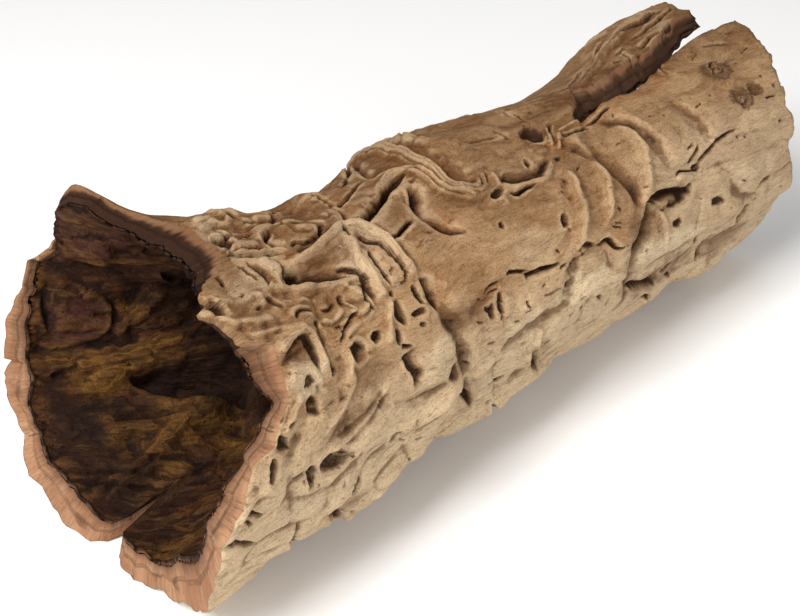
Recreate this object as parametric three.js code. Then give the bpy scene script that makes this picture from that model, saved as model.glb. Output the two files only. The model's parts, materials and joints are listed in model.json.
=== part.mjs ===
// Grapewood hide: a hollow, gnarled length of sandblasted grapevine, grown as one piece of wood.
// Millimetres, +Z up. The wide mouth faces -X and the torn far end faces +X.
// Places on the log are given as (x, angle): x runs along the log from the mouth, and the angle
// in degrees runs around it, 0 on top, 90 at the front (-Y), 180 underneath and 270 at the back.
// One degree is close to one millimetre around the log, so both count alike in distances.
import * as THREE from "three";

// Driving dimensions
const LENGTH = 345;
const REST_TILT = 3.1;
const FLOOR_CUT = 2.2;
const LEAST_WALL = 5.5;
const MOUTH_REACH = 85;
const END_REACH = 90;
const TARGET_TRIANGLES = 11000;
const SPACING = { x: 2.6, angle: 2.4, wall: 4 };
const WOOD_COLOR = 0xa6876a;

// Radii of the bare log, every 45 degrees from the top round by the front, at places along it
const SECTIONS = [
  [-25, [72, 70, 72, 76, 76, 86, 80, 80]],
  [0, [68, 68, 70, 74, 73, 78, 74, 79]],
  [30, [60, 62, 66, 70, 64, 66, 64, 62]],
  [60, [54, 59, 62, 69, 62, 58, 54, 46]],
  [90, [55, 60, 60, 67, 61, 57, 52, 44]],
  [120, [57, 58, 58, 63, 60, 56, 52, 50]],
  [150, [57, 58, 58, 61, 60, 56, 54, 53]],
  [185, [54, 57, 56, 59, 58, 56, 54, 52]],
  [220, [52, 56, 55, 55, 57, 54, 54, 50]],
  [250, [50, 54, 52, 52, 57, 53, 54, 54]],
  [280, [49, 52, 52, 53, 58, 55, 56, 64]],
  [310, [47, 50, 50, 52, 57, 54, 58, 72]],
  [345, [50, 48, 47, 48, 50, 48, 58, 70]],
];

// Where the outer skin starts at the mouth, as [angle, x]
const MOUTH_OUTER = [
  [0, 25], [10, 26], [18, 15], [24, 5], [31, 3], [36, 3], [42, 10], [52, 20], [60, 19], [67, 18],
  [73, 12], [78, 8], [82, -4], [90, -8], [95, -15], [102, -20], [112, -23], [125, -21], [140, -17],
  [155, -15], [172, -15], [186, -17], [190, -14], [193.5, 16], [197, -13], [201, -18], [212, -20],
  [226, -23], [238, -18], [248, -19], [256, -20], [258, -14], [260, -18], [272, -16], [286, -8],
  [295, -5], [305, 4], [316, 6], [324, 3], [329, 5], [334, 12], [341, 18], [350, 24],
];

// Where the hollow starts at the mouth, as [angle, x]
const MOUTH_INNER = [
  [0, 10], [15, 12], [24, 6], [34, 3], [46, 7], [56, 9], [64, 14], [70, 16], [76, 9], [82, -1],
  [90, -11], [100, -18], [112, -19], [125, -16], [140, -13], [155, -12], [172, -12], [186, -14],
  [190, -12], [193.5, 13], [197, -12], [205, -16], [225, -19], [242, -17], [256, -14], [272, -11],
  [286, -4], [300, 2], [312, 0], [322, -2], [332, 2], [345, 8],
];

// Where the log ends, as [angle, x]: the back is torn away under the free strip
const FAR_END = [
  [0, 345], [12, 343], [22, 339], [32, 333], [42, 329], [52, 326], [64, 329], [76, 322], [88, 324],
  [102, 328], [125, 326], [150, 331], [180, 328], [210, 330], [232, 324], [250, 306], [268, 286],
  [292, 278], [302, 283], [311, 322], [322, 331], [334, 326], [346, 343],
];

// Thickness of the wall, as [angle, mm]
const WALL = [
  [0, 10], [30, 9], [45, 10], [60, 12], [75, 10], [90, 11], [110, 13], [130, 17], [150, 17], [172, 12],
  [195, 9], [212, 16], [228, 16], [242, 12], [256, 12], [270, 9], [300, 8], [330, 8],
];

// The split along the top: [x, angle of its middle, half its width, slope of the strip's torn edge]
const SPLIT = [
  [172, 17, -1, 0], [178, 17, 2.5, 3], [185, 17, 3.5, 5], [191, 16, -0.8, 3], [204, 17, -1, 3],
  [210, 17.5, 1.2, 6], [218, 15, 1.8, 10], [230, 9.5, 3.2, 14], [243, 9, 2.6, 15], [252, 8, 3.2, 14],
  [262, 4, 3.8, 13], [272, 0, 3.6, 10], [284, -4, 2.6, 7], [296, -8, 3.4, 5], [310, -12, 5, 3],
  [325, -14, 6, 2], [360, -15, 6.5, 2],
];

// Grooves and gouges on the visible side: path as [x, angle], half width, depth, height of the lips
const GROOVES = [
  // torn top edge behind the mouth
  [[[10, 20], [20, 18], [30, 17], [45, 19]], 2.4, 5, 0.6],
  [[[14, 28], [22, 26.5], [30, 26]], 1.6, 3, 0.4],
  [[[4, 31], [10, 33.5], [22, 34], [38, 34]], 2.2, 4.5, 0.3],
  [[[41, 19], [43, 26], [43, 34]], 2.4, 4.5, 0.6],
  [[[49, 36], [56, 35], [64, 37]], 2.6, 4.5, 0.3],
  // long dark grooves over the top
  [[[84, 24], [92, 20], [100, 18], [110, 11]], 2.6, 4.5, 0.6],
  [[[88, 36], [95, 33], [104, 31]], 2.4, 4, 0.6],
  [[[85, 11], [95, 7], [101, 4], [108, 2]], 2.4, 4, 0.5],
  [[[93, 2], [100, -4], [106, -12], [115, -25], [128, -48]], 3.2, 5, 0.6],
  [[[112, 16], [110, 22], [107, 27], [109, 33], [111, 38], [116, 42], [124, 45]], 2.6, 4.5, 0.8],
  [[[131, 21], [136, 22], [141, 20]], 1.6, 2.6, 0.3],
  // curved groove and gouges behind the mouth's front corner
  [[[78, 27], [82, 35], [84, 45], [84, 51]], 2.2, 4.5, 0.6],
  [[[86, 51], [88, 60]], 1.9, 3, 0.4],
  [[[89, 51], [92, 58], [93, 64], [96, 67]], 2.8, 6, 0.8],
  [[[71, 74], [73, 80], [77, 87]], 2.6, 5.5, 0.8],
  [[[101, 98], [104, 106], [108, 111], [112, 116]], 3.2, 5.5, 0.8],
  [[[36, 51], [35, 58], [34, 64]], 1.8, 3, 0.3],
  [[[39, 61], [40, 69]], 1.5, 2.6, 0.3],
  [[[16, 110], [13, 118]], 2.4, 3, 0.4],
  [[[30, 118], [40, 130], [50, 145]], 4, 4, 0.5],
  [[[203, 102], [208, 107], [220, 111], [231, 118]], 3.2, 4.5, 0.6],
  // slots and cracks along the front
  [[[129, 63], [138, 66], [146, 68.5], [150, 69.5], [163, 71]], 2.3, 5, 0.7],
  [[[170, 69], [175, 67.5], [181, 70], [185, 72]], 2, 4, 0.6],
  [[[186, 71], [191, 72], [194, 76], [199, 80]], 2, 4, 0.6],
  [[[114, 70], [118, 66], [125, 66]], 2, 4.5, 0.7],
  [[[117, 74], [120, 79], [123, 79]], 2, 4.5, 0.6],
  [[[125, 70], [127, 76], [126, 82]], 2.2, 5, 0.6],
  [[[150, 80], [156, 81], [162, 81.5]], 1.6, 2.6, 0.3],
  [[[141, 103], [143, 109], [146, 113]], 2, 4, 0.5],
  [[[150, 31], [158, 34.5], [168, 35], [176, 30.5]], 1.8, 3.4, 0.4],
  // far half
  [[[224, 51], [219, 60], [216, 69], [211, 78], [205, 84]], 2.6, 4.4, 0.4],
  [[[216, 65], [228, 63], [238, 64.5], [246, 67]], 2.6, 6, 0.7],
  [[[249, 57], [252, 53], [258, 50.5]], 2.2, 4.5, 0.6],
  [[[251, 59], [260, 55], [270, 53], [280, 52], [291, 52]], 1.8, 3.4, 0.5],
  [[[290, 83], [298, 86], [305, 87]], 1.8, 3, 0.4],
  [[[313, -3], [323, -1], [333, 0]], 1.8, 3, 0.4],
  [[[291, 8], [289, 17], [293, 26], [301, 31]], 2.4, 4, 0.5],
  [[[306, 31], [314, 29], [320, 22], [321, 13]], 2.2, 3.5, 0.4],
  // long grooves of the free strip
  [[[232, -16], [245, -23], [262, -30], [280, -34], [300, -36]], 2, 3.2, 0.5],
  [[[262, -22], [285, -27], [310, -29], [328, -29]], 1.8, 2.8, 0.5],
];

// Rope-like ridges: path as [x, angle], half width, height
const RIDGES = [
  [[[0, 35], [6, 38], [14, 40], [28, 41.5], [36, 42]], 2.4, 3],
  [[[43, 24], [52, 24.5], [61, 24.5], [70, 20.5], [77, 20], [84, 26], [87, 34], [88, 43], [87, 50]], 3, 4],
  [[[44, 30], [55, 31], [63, 32], [69, 36], [72, 42], [72, 50]], 2.4, 3],
  [[[18, 53], [27, 50], [35, 49], [38.5, 54], [39.5, 61]], 2.4, 2.8],
  [[[26, 96], [31, 93], [40, 93], [50, 91]], 2, 2.2],
  [[[38, 72], [35, 80], [24, 85], [10, 84]], 3, 2.2],
  [[[66, 79], [52, 86], [32, 90], [15, 93]], 3, 2.2],
  [[[100, 12], [108, 9], [118, 10], [122, 15], [124, 23], [128, 30], [134, 33.5], [141, 33], [145, 29]], 2.6, 3.6],
  [[[103, 8], [113, 4.5], [122, 6], [126, 13], [127, 20], [131, 26.5], [138, 28.5], [143, 26]], 2.4, 3.2],
  [[[127, -40], [128, -22], [127, -8], [128, 2], [130, 12], [132, 20], [137, 23], [142, 22]], 2.6, 3.4],
  [[[134, -38], [135, -22], [136, -8], [138, 4], [141, 13], [146, 20]], 3.6, 3.2],
  [[[187, 33], [184, 48], [179, 61], [172, 70]], 3.4, 3],
  [[[201, 31], [198, 45], [194, 58], [186, 70]], 3.6, 3.2],
  [[[222, 48], [217, 60], [213, 70], [206, 82]], 3.4, 4],
  [[[148, 30], [157, 38], [165, 37.5], [174, 34], [180, 28]], 2.6, 2.8],
  [[[226, 69], [236, 71], [247, 71]], 2.6, 2.6],
  [[[234, 60], [243, 58], [250, 61]], 2.4, 2.2],
  [[[232, -10], [250, -18], [268, -25], [290, -30], [320, -33]], 3, 2.6],
  [[[60, 97], [80, 101], [96, 96], [112, 99], [130, 96]], 4, 2.4],
  [[[150, 96], [168, 90], [186, 88], [204, 92]], 4.5, 2.6],
  [[[240, 92], [262, 90], [285, 87]], 4, 2.4],
  [[[50, 122], [76, 118], [98, 126]], 5, 3],
  [[[120, 122], [146, 120], [170, 128]], 5, 3],
];

// Pits and basins: x, angle, half size along x, half size around, turn in degrees, depth, lip,
// lean (1 digs only towards the turned +x side, 0 is even)
const PITS = [
  [27.5, 66, 2.6, 2.2, 0, 2, 0.5, 0], [28, 73.5, 3, 3.4, 0, 2.6, 0.9, 0], [42.5, 50, 3, 4.5, 10, 3, 0.5, 0],
  [27, 56, 7, 3.6, 0, 2.6, 0.4, 0.3], [53, 44, 6, 5, 0, 2.6, 0, 0], [54, 66, 5.5, 4.5, -15, 4, 0.7, 0.3],
  [64, 63.5, 4.5, 2.8, 10, 4, 0.6, 0.2], [7.5, 34, 4, 3, 0, 2.6, 0, 0], [31, 27, 5, 5, 0, -2.6, 0, 0],
  [77, 42, 3, 8, -5, 4.5, 0.4, 0.2], [76, 54, 2.6, 2.6, 0, 3.2, 0.5, 0], [76.5, 59, 3.4, 4, 0, 3.2, 0.3, 0],
  [84, 66, 3, 2.8, 0, 3, 0.6, 0], [74, 67.5, 4.6, 3, 25, 4, 0.6, 0.2], [80, 80, 7, 5.5, 20, 3.2, 0.3, -0.5],
  [84, 61.5, 4.5, 2, 0, -1.6, 0, 0], [12, 79.5, 5, 3, -30, 3, 0.5, 0.5], [16, 76, 3, 1.8, 30, 2.2, 0.4, 0.3],
  [4.5, 87, 4, 2.6, 50, 3, 0.5, 0.3], [-8, 91.5, 3.6, 2.2, 20, 2.6, 0.5, 0.2], [-7, 96, 6, 2.4, 10, 3, 0.6, 0.3],
  [-13, 102.5, 6, 2.8, 15, 3, 0.6, 0.3], [21, 96, 2.8, 4.2, 15, 3, 0.6, 0.3], [39, 98, 9, 4.4, 0, 3.2, 0.6, 0],
  [64, 102, 3.6, 2.4, 20, 3, 0.5, 0.3], [73, 101, 4, 3.4, 30, 3.4, 0.6, 0.3], [44.5, 113.5, 3, 4.6, 20, 3.6, 0.6, 0.3],
  [96, 91.5, 4.6, 3.6, 0, 3.6, 0.7, 0.2], [38, 86, 8, 4, 0, 2, 0, 0], [72, 91, 7, 4, 0, 2.4, 0, 0],
  [138, 47, 3, 2.6, 0, 3, 0.6, 0], [145, 35.5, 4.5, 3, 30, 3.8, 0.4, 0.3], [167.5, 27.5, 3, 2.2, 0, 3, 0.4, 0],
  [182.5, 32, 2.4, 1.8, 0, 2.4, 0.4, 0], [200, 34, 2.2, 2.4, 0, 2.4, 0.4, 0], [167.5, 55, 3, 4.4, 0, 2.6, 0.5, 0.3],
  [120.5, 73, 9, 9, 0, 2.2, 0.8, 0], [163.5, 82, 3, 2.6, 0, 3, 0.5, 0], [139, 81, 2, 3.4, 0, 2.2, 0.3, 0],
  [172, 97, 3, 2.4, 0, 2.6, 0.5, 0], [182.5, 96, 2.6, 2.2, 0, 2.4, 0.4, 0], [124, 108.5, 4.4, 2.6, 0, 2.4, 0.4, 0],
  [107, 74, 10, 6, 25, 2.6, 0, 0], [222, 63, 5, 2.8, 0, 4.5, 0.6, 0], [232.5, 80.5, 4.4, 3.2, 0, 3, 0.6, 0],
  [262, 80, 4.6, 3, 0, 3, 0.6, 0], [251, 98.5, 2.6, 2.4, 0, 2.6, 0.5, 0], [285, 97.5, 6, 6, 0, 4, 0.8, 0],
  [233.5, 104.5, 5, 4, 0, 3.4, 0.6, 0], [263, 102, 3.6, 2.6, 0, 2.6, 0.5, 0], [274, 109, 15, 8, 0, 2.6, 0, 0],
  [303, 18, 14, 10, 0, -3, 0, 0], [300, 39, 5, 5, 0, -2.4, 0, 0], [300, 39, 2.4, 2.4, 0, 3.4, 0, 0],
  [312, 38, 3.6, 3.4, 0, 2.6, 0.6, 0], [276, -8, 7, 4, 0, 4, 0.4, 0], [273, -16, 2.4, 4, 0, 3.4, 0.3, 0],
  [182, 22, 6, 5, 0, 3, 0, 0], [116, 51, 20, 11, 0, -2.2, 0, 0],
];

// Broad swellings (or hollows, when negative): x, angle, reach along x, reach around, height
const SWELLS = [
  [2, 329, 13, 7, 9], [30, 118, 18, 13, 2], [54, 136, 13, 14, 5], [90, 130, 15, 15, -6], [123, 130, 12, 12, 2],
  [148, 134, 9, 12, 3], [162, 128, 9, 12, -3], [184, 124, 12, 12, -1], [232, 130, 13, 12, 4], [268, 128, 13, 12, 4],
  [318, 116, 14, 12, -5], [95, 342, 12, 16, -5], [127, 320, 9, 12, -3], [140, 5, 14, 22, 2.5], [316, 352, 18, 12, 2],
  [60, 72, 20, 12, 1.5], [310, 318, 16, 14, -3], [-8, 210, 26, 12, 6.5], [-4, 166, 22, 10, 2], [298, 184, 34, 24, 5],
];

// Relief of the hollow's wall, positive into the hollow: path as [x, angle], half width, height
const INNER_RIDGES = [
  [[[-4, 303], [10, 301], [20, 298], [32, 300], [50, 301], [80, 300]], 5, 4],
  [[[-6, 248], [6, 245], [18, 246], [30, 244], [45, 243], [70, 240], [110, 238]], 5, 3],
  [[[-8, 258], [6, 254], [18, 252], [30, 252], [44, 250]], 2.6, 2],
  [[[-10, 208], [10, 209], [30, 214], [48, 218]], 4, 2.6],
  [[[0, 226], [14, 222], [24, 218]], 3, 2],
  [[[10, 268], [18, 264], [28, 265], [36, 272], [38, 282], [34, 290]], 3, 2.2],
  [[[-14, 192], [-2, 191.5], [8, 191], [20, 192]], 3, 1.6],
  [[[120, 100], [180, 104], [250, 96]], 9, 3.5],
  [[[90, 200], [170, 206], [260, 198]], 9, 3.5],
  [[[110, 300], [190, 296], [260, 302]], 8, 3],
];

// Hollows of the hollow's wall: x, angle, half size along x, half size around, depth
const INNER_PITS = [
  [40, 229, 20, 9, 3.5], [53, 208, 7, 7, 4], [29, 272, 4.5, 4, 3], [-2, 274, 2, 7, 2], [33, 280, 5, 2.4, 2],
  [-8, 163, 9, 9, 2.5], [56, 66, 9, 9, 3], [25, 284, 16, 10, 1.5], [150, 60, 18, 14, 3], [220, 250, 20, 16, 3],
];

// Flowing lumps all over, softer on the side that was sandblasted smooth
const LUMPS = { reach: 34, stretch: 2.1, height: 7, shown: 0.24 };
const FOLDS = { reach: 13, stretch: 2.3, height: 2.8, shown: 0.4 };
const INNER_LUMPS = { reach: 20, stretch: 3.2, height: 4 };

// Random gouges on the back and underside, where the hand-placed ones stop
const HIDDEN_GOUGES = { count: 46, seed: 11, from: 134, to: 322 };

const radians = (degrees) => (degrees * Math.PI) / 180;
const clamp = (value, low, high) => Math.min(high, Math.max(low, value));
const mix = (from, to, part) => from + (to - from) * part;
const fraction = (value) => value - Math.floor(value);
const smooth = (low, high, value) => {
  const part = clamp((value - low) / (high - low), 0, 1);
  return part * part * (3 - 2 * part);
};
const turnBetween = (angle, other) => ((((angle - other + 180) % 360) + 360) % 360) - 180;

// A value read from a table of [place, value, ...] rows, eased between the rows
function readRow(table, place, column = 1) {
  if (place <= table[0][0]) {
    return table[0][column];
  }
  for (let row = 1; row < table.length; row += 1) {
    if (place <= table[row][0]) {
      const [from, to] = [table[row - 1], table[row]];
      return mix(from[column], to[column], smooth(from[0], to[0], place));
    }
  }
  return table[table.length - 1][column];
}

// The same, round the log: the last row leads back to the first
function readRound(table, angle) {
  const turned = ((angle % 360) + 360) % 360;
  return readRow([...table, [360, table[0][1]]], turned);
}

// Catmull-Rom curve through four even samples
function curveThrough(before, from, to, after, part) {
  const first = to - before;
  const second = 2 * before - 5 * from + 4 * to - after;
  const third = -before + 3 * from - 3 * to + after;
  return 0.5 * (2 * from + part * (first + part * (second + part * third)));
}

// Radius of the bare log
function bareRadius(x, angle) {
  const last = SECTIONS.length - 2;
  let row = 0;
  while (row < last && x > SECTIONS[row + 1][0]) {
    row += 1;
  }
  const part = clamp((x - SECTIONS[row][0]) / (SECTIONS[row + 1][0] - SECTIONS[row][0]), 0, 1);
  const rows = [Math.max(row - 1, 0), row, row + 1, Math.min(row + 2, last + 1)];
  const step = fraction((((angle % 360) + 360) % 360) / 45);
  const sector = Math.floor((((angle % 360) + 360) % 360) / 45);
  const around = (index) => {
    const radii = SECTIONS[index][1];
    const [a, b, c, d] = [7, 8, 9, 10].map((shift) => radii[(sector + shift) % 8]);
    return curveThrough(a, b, c, d, step);
  };
  const [a, b, c, d] = rows.map(around);
  return curveThrough(a, b, c, d, part);
}

// Smooth seeded noise over space, between -1 and 1
function hash(i, j, k, seed) {
  return fraction(Math.sin(i * 127.1 + j * 311.7 + k * 191.3 + seed * 74.7) * 43758.5453) * 2 - 1;
}

function noise(x, y, z, seed) {
  const [i, j, k] = [Math.floor(x), Math.floor(y), Math.floor(z)];
  const [u, v, w] = [smooth(0, 1, x - i), smooth(0, 1, y - j), smooth(0, 1, z - k)];
  const edge = (dj, dk) => mix(hash(i, j + dj, k + dk, seed), hash(i + 1, j + dj, k + dk, seed), u);
  const face = (dk) => mix(edge(0, dk), edge(1, dk), v);
  return mix(face(0), face(1), w);
}

// Rounded lumps that meet in creases, bent by slower noise and drawn out along the log
function creasedLumps(x, y, z, { reach, stretch, height }, seed) {
  const bend = (shift) => 0.55 * noise(x / (2.2 * reach), y / (1.7 * reach), z / (1.7 * reach), seed + shift);
  const value = noise(
    x / (reach * stretch) + bend(1), y / reach + bend(2), z / reach + bend(3), seed + 4,
  );
  return height * (Math.pow(Math.abs(value), 0.65) - 0.42);
}

// Distance from a place to a path, faded towards the path's two ends
function nearPath(path, x, angle) {
  let best = { distance: Infinity, ends: 0 };
  const total = path.length - 1;
  for (let step = 0; step < total; step += 1) {
    const [[x0, a0], [x1, a1]] = [path[step], path[step + 1]];
    const [dx, da] = [x1 - x0, a1 - a0];
    const [px, pa] = [x - x0, turnBetween(angle, a0)];
    const part = clamp((px * dx + pa * da) / (dx * dx + da * da), 0, 1);
    const distance = Math.hypot(px - dx * part, pa - da * part);
    if (distance < best.distance) {
      const along = (step + part) / total;
      best = { distance, ends: smooth(0, 0.22, along) * smooth(0, 0.22, 1 - along) };
    }
  }
  return best;
}

const bump = (distance, width) => Math.exp(-(distance * distance) / (width * width));

function farFrom(path, x, angle, reach) {
  const [start] = path;
  const end = path[path.length - 1];
  const span = Math.hypot(end[0] - start[0], end[1] - start[1]) + reach + 14;
  const middle = path[Math.floor(path.length / 2)];
  return Math.hypot(x - middle[0], turnBetween(angle, middle[1])) > span;
}

function groovesAt(grooves, x, angle) {
  let height = 0;
  for (const [path, width, depth, lip] of grooves) {
    if (!farFrom(path, x, angle, 4 * width)) {
      const { distance, ends } = nearPath(path, x, angle);
      height += (0.35 + 0.65 * ends) * (lip * bump(distance - 2 * width, width) - depth * bump(distance, width));
    }
  }
  return height;
}

function ridgesAt(ridges, x, angle) {
  let height = 0;
  for (const [path, width, rise] of ridges) {
    if (!farFrom(path, x, angle, 3 * width)) {
      const { distance, ends } = nearPath(path, x, angle);
      height += (0.3 + 0.7 * ends) * rise * bump(distance, width);
    }
  }
  return height;
}

function pitsAt(pits, x, angle) {
  let height = 0;
  for (const [px, pa, along, around, turn, depth, lip, lean] of pits) {
    const [dx, da] = [x - px, turnBetween(angle, pa)];
    if (Math.abs(dx) + Math.abs(da) < 2.4 * (along + around)) {
      const [c, s] = [Math.cos(radians(turn)), Math.sin(radians(turn))];
      const [u, v] = [(dx * c + da * s) / along, (da * c - dx * s) / around];
      const off = Math.hypot(u, v);
      const bowl = Math.exp(-Math.pow(off, 3)) * (1 + lean * clamp(u, -1, 1));
      height += lip * bump(off - 1.35, 0.3) - depth * bowl;
    }
  }
  return height;
}

function swellsAt(swells, x, angle) {
  let height = 0;
  for (const [sx, sa, along, around, rise] of swells) {
    height += rise * bump(Math.hypot((x - sx) / along, turnBetween(angle, sa) / around), 1);
  }
  return height;
}

// Seeded gouges for the hidden side, drawn out along the log
function hiddenGouges({ count, seed, from, to }) {
  const gouges = [];
  for (let item = 0; item < count; item += 1) {
    const draw = (column) => (hash(item, column, 0, seed) + 1) / 2;
    const [x, angle] = [mix(-4, LENGTH - 30, draw(1)), mix(from, to, draw(2))];
    const [run, turn] = [mix(7, 22, draw(3)), mix(-9, 9, draw(4))];
    const path = [[x - run, angle - turn], [x, angle + mix(-4, 4, draw(5))], [x + run, angle + turn]];
    gouges.push([path, mix(2.2, 4, draw(6)), mix(2.5, 5, draw(7)), 0.7]);
  }
  return gouges;
}
const GOUGES_BEHIND = hiddenGouges(HIDDEN_GOUGES);

// How far the lumps show: full on the back and underside, little on the sandblasted front
function lumpShare(angle, shown) {
  const turned = ((angle % 360) + 360) % 360;
  const hidden = smooth(120, 145, turned) * (1 - smooth(310, 335, turned));
  return mix(shown, 1, hidden);
}

function outerRadius(x, angle) {
  const bare = bareRadius(x, angle);
  const [y, z] = [-bare * Math.sin(radians(angle)), bare * Math.cos(radians(angle))];
  const carved = groovesAt(GROOVES, x, angle) + groovesAt(GOUGES_BEHIND, x, angle);
  const raised = ridgesAt(RIDGES, x, angle) + swellsAt(SWELLS, x, angle);
  const lumps = lumpShare(angle, LUMPS.shown) * creasedLumps(x, y, z, LUMPS, 3);
  const folds = lumpShare(angle, FOLDS.shown) * creasedLumps(x, y, z, FOLDS, 29);
  return bare + carved + raised + pitsAt(PITS, x, angle) + lumps + folds;
}

function innerRadius(x, angle, outside) {
  const bare = bareRadius(x, angle) - readRound(WALL, angle);
  const [y, z] = [-bare * Math.sin(radians(angle)), bare * Math.cos(radians(angle))];
  const ledges = ridgesAt(INNER_RIDGES, x, angle) + creasedLumps(x, y, z, INNER_LUMPS, 57);
  let hollows = 0;
  for (const [px, pa, along, around, depth] of INNER_PITS) {
    hollows += depth * bump(Math.hypot((x - px) / along, turnBetween(angle, pa) / around), 1);
  }
  return Math.min(bare - ledges + hollows, outside - LEAST_WALL);
}

// A rim's x at an angle, spread smoothly into the log so that the grid follows the torn ends
function alongLog(base, angle, mouth) {
  const nearShare = Math.pow(clamp(1 - base / MOUTH_REACH, 0, 1), 2);
  const farShare = Math.pow(clamp(1 - (LENGTH - base) / END_REACH, 0, 1), 2);
  return base + readRound(mouth, angle) * nearShare + (readRound(FAR_END, angle) - LENGTH) * farShare;
}

// Angle of a grid column: 0 to 1 runs round the log from one side of the split to the other
function columnAngle(share, base, slope) {
  const middle = readRow(SPLIT, base, 1);
  const half = Math.max(0, readRow(SPLIT, base, 2));
  const open = half > 0 ? 1 : 0;
  const edge = middle + half;
  return edge + share * (360 - 2 * half - open * slope * smooth(0, 2, half) * smooth(0.9, 1, share));
}

function onLog(x, angle, radius) {
  return new THREE.Vector3(x, -radius * Math.sin(radians(angle)), radius * Math.cos(radians(angle)));
}

function outerPoint(share, base) {
  const angle = columnAngle(share, base, readRow(SPLIT, base, 3));
  const x = alongLog(base, angle, MOUTH_OUTER);
  return { point: onLog(x, angle, outerRadius(x, angle)), x, angle };
}

function innerPoint(share, base) {
  const angle = columnAngle(share, base, 0);
  const x = alongLog(base, angle, MOUTH_INNER);
  return { point: onLog(x, angle, innerRadius(x, angle, outerRadius(x, angle))), x, angle };
}

// Points across a torn or cut wall face, from its outer edge to its inner edge
function acrossWall(from, to, count, seed) {
  const points = [];
  for (let step = 0; step <= count; step += 1) {
    const share = step / count;
    const point = from.clone().lerp(to, share);
    const rough = 1.6 * Math.sin(Math.PI * share);
    point.x += rough * noise(point.x / 9, point.y / 7, point.z / 7, seed);
    points.push(point);
  }
  return points;
}

// Grid of the log's skin: rows run along the log outside, across the far end, back through the
// hollow and across the mouth; columns run round it, and part at the split where it is open
function logGrid() {
  const rows = Math.round(LENGTH / SPACING.x);
  const columns = Math.round(360 / SPACING.angle);
  const points = [];
  const faces = [];
  const add = (point) => points.push(point) - 1;
  const quad = (a, b, c, d) => faces.push([a, c, b], [a, d, c]);
  const bases = Array.from({ length: rows + 1 }, (_, row) => (LENGTH * row) / rows);
  const open = bases.map((base) => readRow(SPLIT, base, 2) > 0.05);
  const sheet = (place) => bases.map((base, row) => {
    const line = [];
    for (let column = 0; column < columns; column += 1) {
      line.push(add(place(column / columns, base).point));
    }
    line.push(open[row] ? add(place(1, base).point) : line[0]);
    return line;
  });
  const outer = sheet(outerPoint);
  const inner = sheet(innerPoint);
  const wallLine = (outside, inside, seed) => {
    const middle = acrossWall(points[outside], points[inside], SPACING.wall, seed).slice(1, -1);
    return [outside, ...middle.map(add), inside];
  };
  const rim = (row, seed) => {
    const lines = [];
    for (let column = 0; column < columns; column += 1) {
      lines.push(wallLine(outer[row][column], inner[row][column], seed));
    }
    lines.push(open[row] ? wallLine(outer[row][columns], inner[row][columns], seed) : lines[0]);
    return lines;
  };
  const mouth = rim(0, 71);
  const end = rim(rows, 83);
  for (let row = 0; row < rows; row += 1) {
    for (let column = 0; column < columns; column += 1) {
      const [a, b] = [outer[row][column], outer[row][column + 1]];
      const [c, d] = [outer[row + 1][column + 1], outer[row + 1][column]];
      quad(a, d, c, b);
      const [e, f] = [inner[row][column], inner[row][column + 1]];
      const [g, h] = [inner[row + 1][column + 1], inner[row + 1][column]];
      quad(e, f, g, h);
    }
  }
  for (let column = 0; column < columns; column += 1) {
    for (let step = 0; step < SPACING.wall; step += 1) {
      quad(mouth[column][step], mouth[column + 1][step], mouth[column + 1][step + 1], mouth[column][step + 1]);
      quad(end[column][step], end[column][step + 1], end[column + 1][step + 1], end[column + 1][step]);
    }
  }
  // faces down both sides of the split, one pair of strips for each stretch where it is open
  const side = (row, column, joined) => {
    if (row === rows) {
      return end[column];
    }
    return joined ?? wallLine(outer[row][column], inner[row][column], 97);
  };
  for (let first = 0; first < rows; first += 1) {
    if (open[first + 1] && !open[first]) {
      const start = wallLine(outer[first][0], inner[first][0], 97);
      let [left, right] = [start, start];
      let row = first;
      let closing = null;
      while (row < rows && !closing) {
        row += 1;
        const shut = !open[row];
        const shared = shut ? wallLine(outer[row][0], inner[row][0], 97) : undefined;
        const [nextLeft, nextRight] = [side(row, 0, shared), side(row, columns, shared)];
        for (let step = 0; step < SPACING.wall; step += 1) {
          quad(left[step], left[step + 1], nextLeft[step + 1], nextLeft[step]);
          quad(right[step], nextRight[step], nextRight[step + 1], right[step + 1]);
        }
        [left, right] = [nextLeft, nextRight];
        closing = shut ? row : null;
      }
    }
  }
  return { points, faces };
}

// Quadric of a plane through a triangle, as the ten numbers of a symmetric matrix
function planeQuadric(a, b, c) {
  const normal = b.clone().sub(a).cross(c.clone().sub(a));
  const area = normal.length();
  if (area < 1e-9) {
    return new Float64Array(10);
  }
  normal.divideScalar(area);
  const [x, y, z, w] = [normal.x, normal.y, normal.z, -normal.dot(a)];
  return Float64Array.of(x * x, x * y, x * z, x * w, y * y, y * z, y * w, z * z, z * w, w * w).map((v) => v * area);
}

function quadricError(q, p) {
  const { x, y, z } = p;
  const cross = q[1] * x * y + q[2] * x * z + q[3] * x + q[5] * y * z + q[6] * y + q[8] * z;
  return q[0] * x * x + q[4] * y * y + q[7] * z * z + 2 * cross + q[9];
}

// Smallest-first queue of edges to collapse
class EdgeQueue {
  constructor() {
    this.items = [];
  }
  push(item) {
    const list = this.items;
    let place = list.push(item) - 1;
    while (place > 0) {
      const parent = (place - 1) >> 1;
      if (list[parent].cost <= list[place].cost) {
        break;
      }
      [list[parent], list[place]] = [list[place], list[parent]];
      place = parent;
    }
  }
  pop() {
    const list = this.items;
    const top = list[0];
    const last = list.pop();
    if (list.length > 0) {
      list[0] = last;
      let place = 0;
      for (;;) {
        const [left, right] = [2 * place + 1, 2 * place + 2];
        let least = place;
        if (left < list.length && list[left].cost < list[least].cost) {
          least = left;
        }
        if (right < list.length && list[right].cost < list[least].cost) {
          least = right;
        }
        if (least === place) {
          break;
        }
        [list[least], list[place]] = [list[place], list[least]];
        place = least;
      }
    }
    return top;
  }
}

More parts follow.
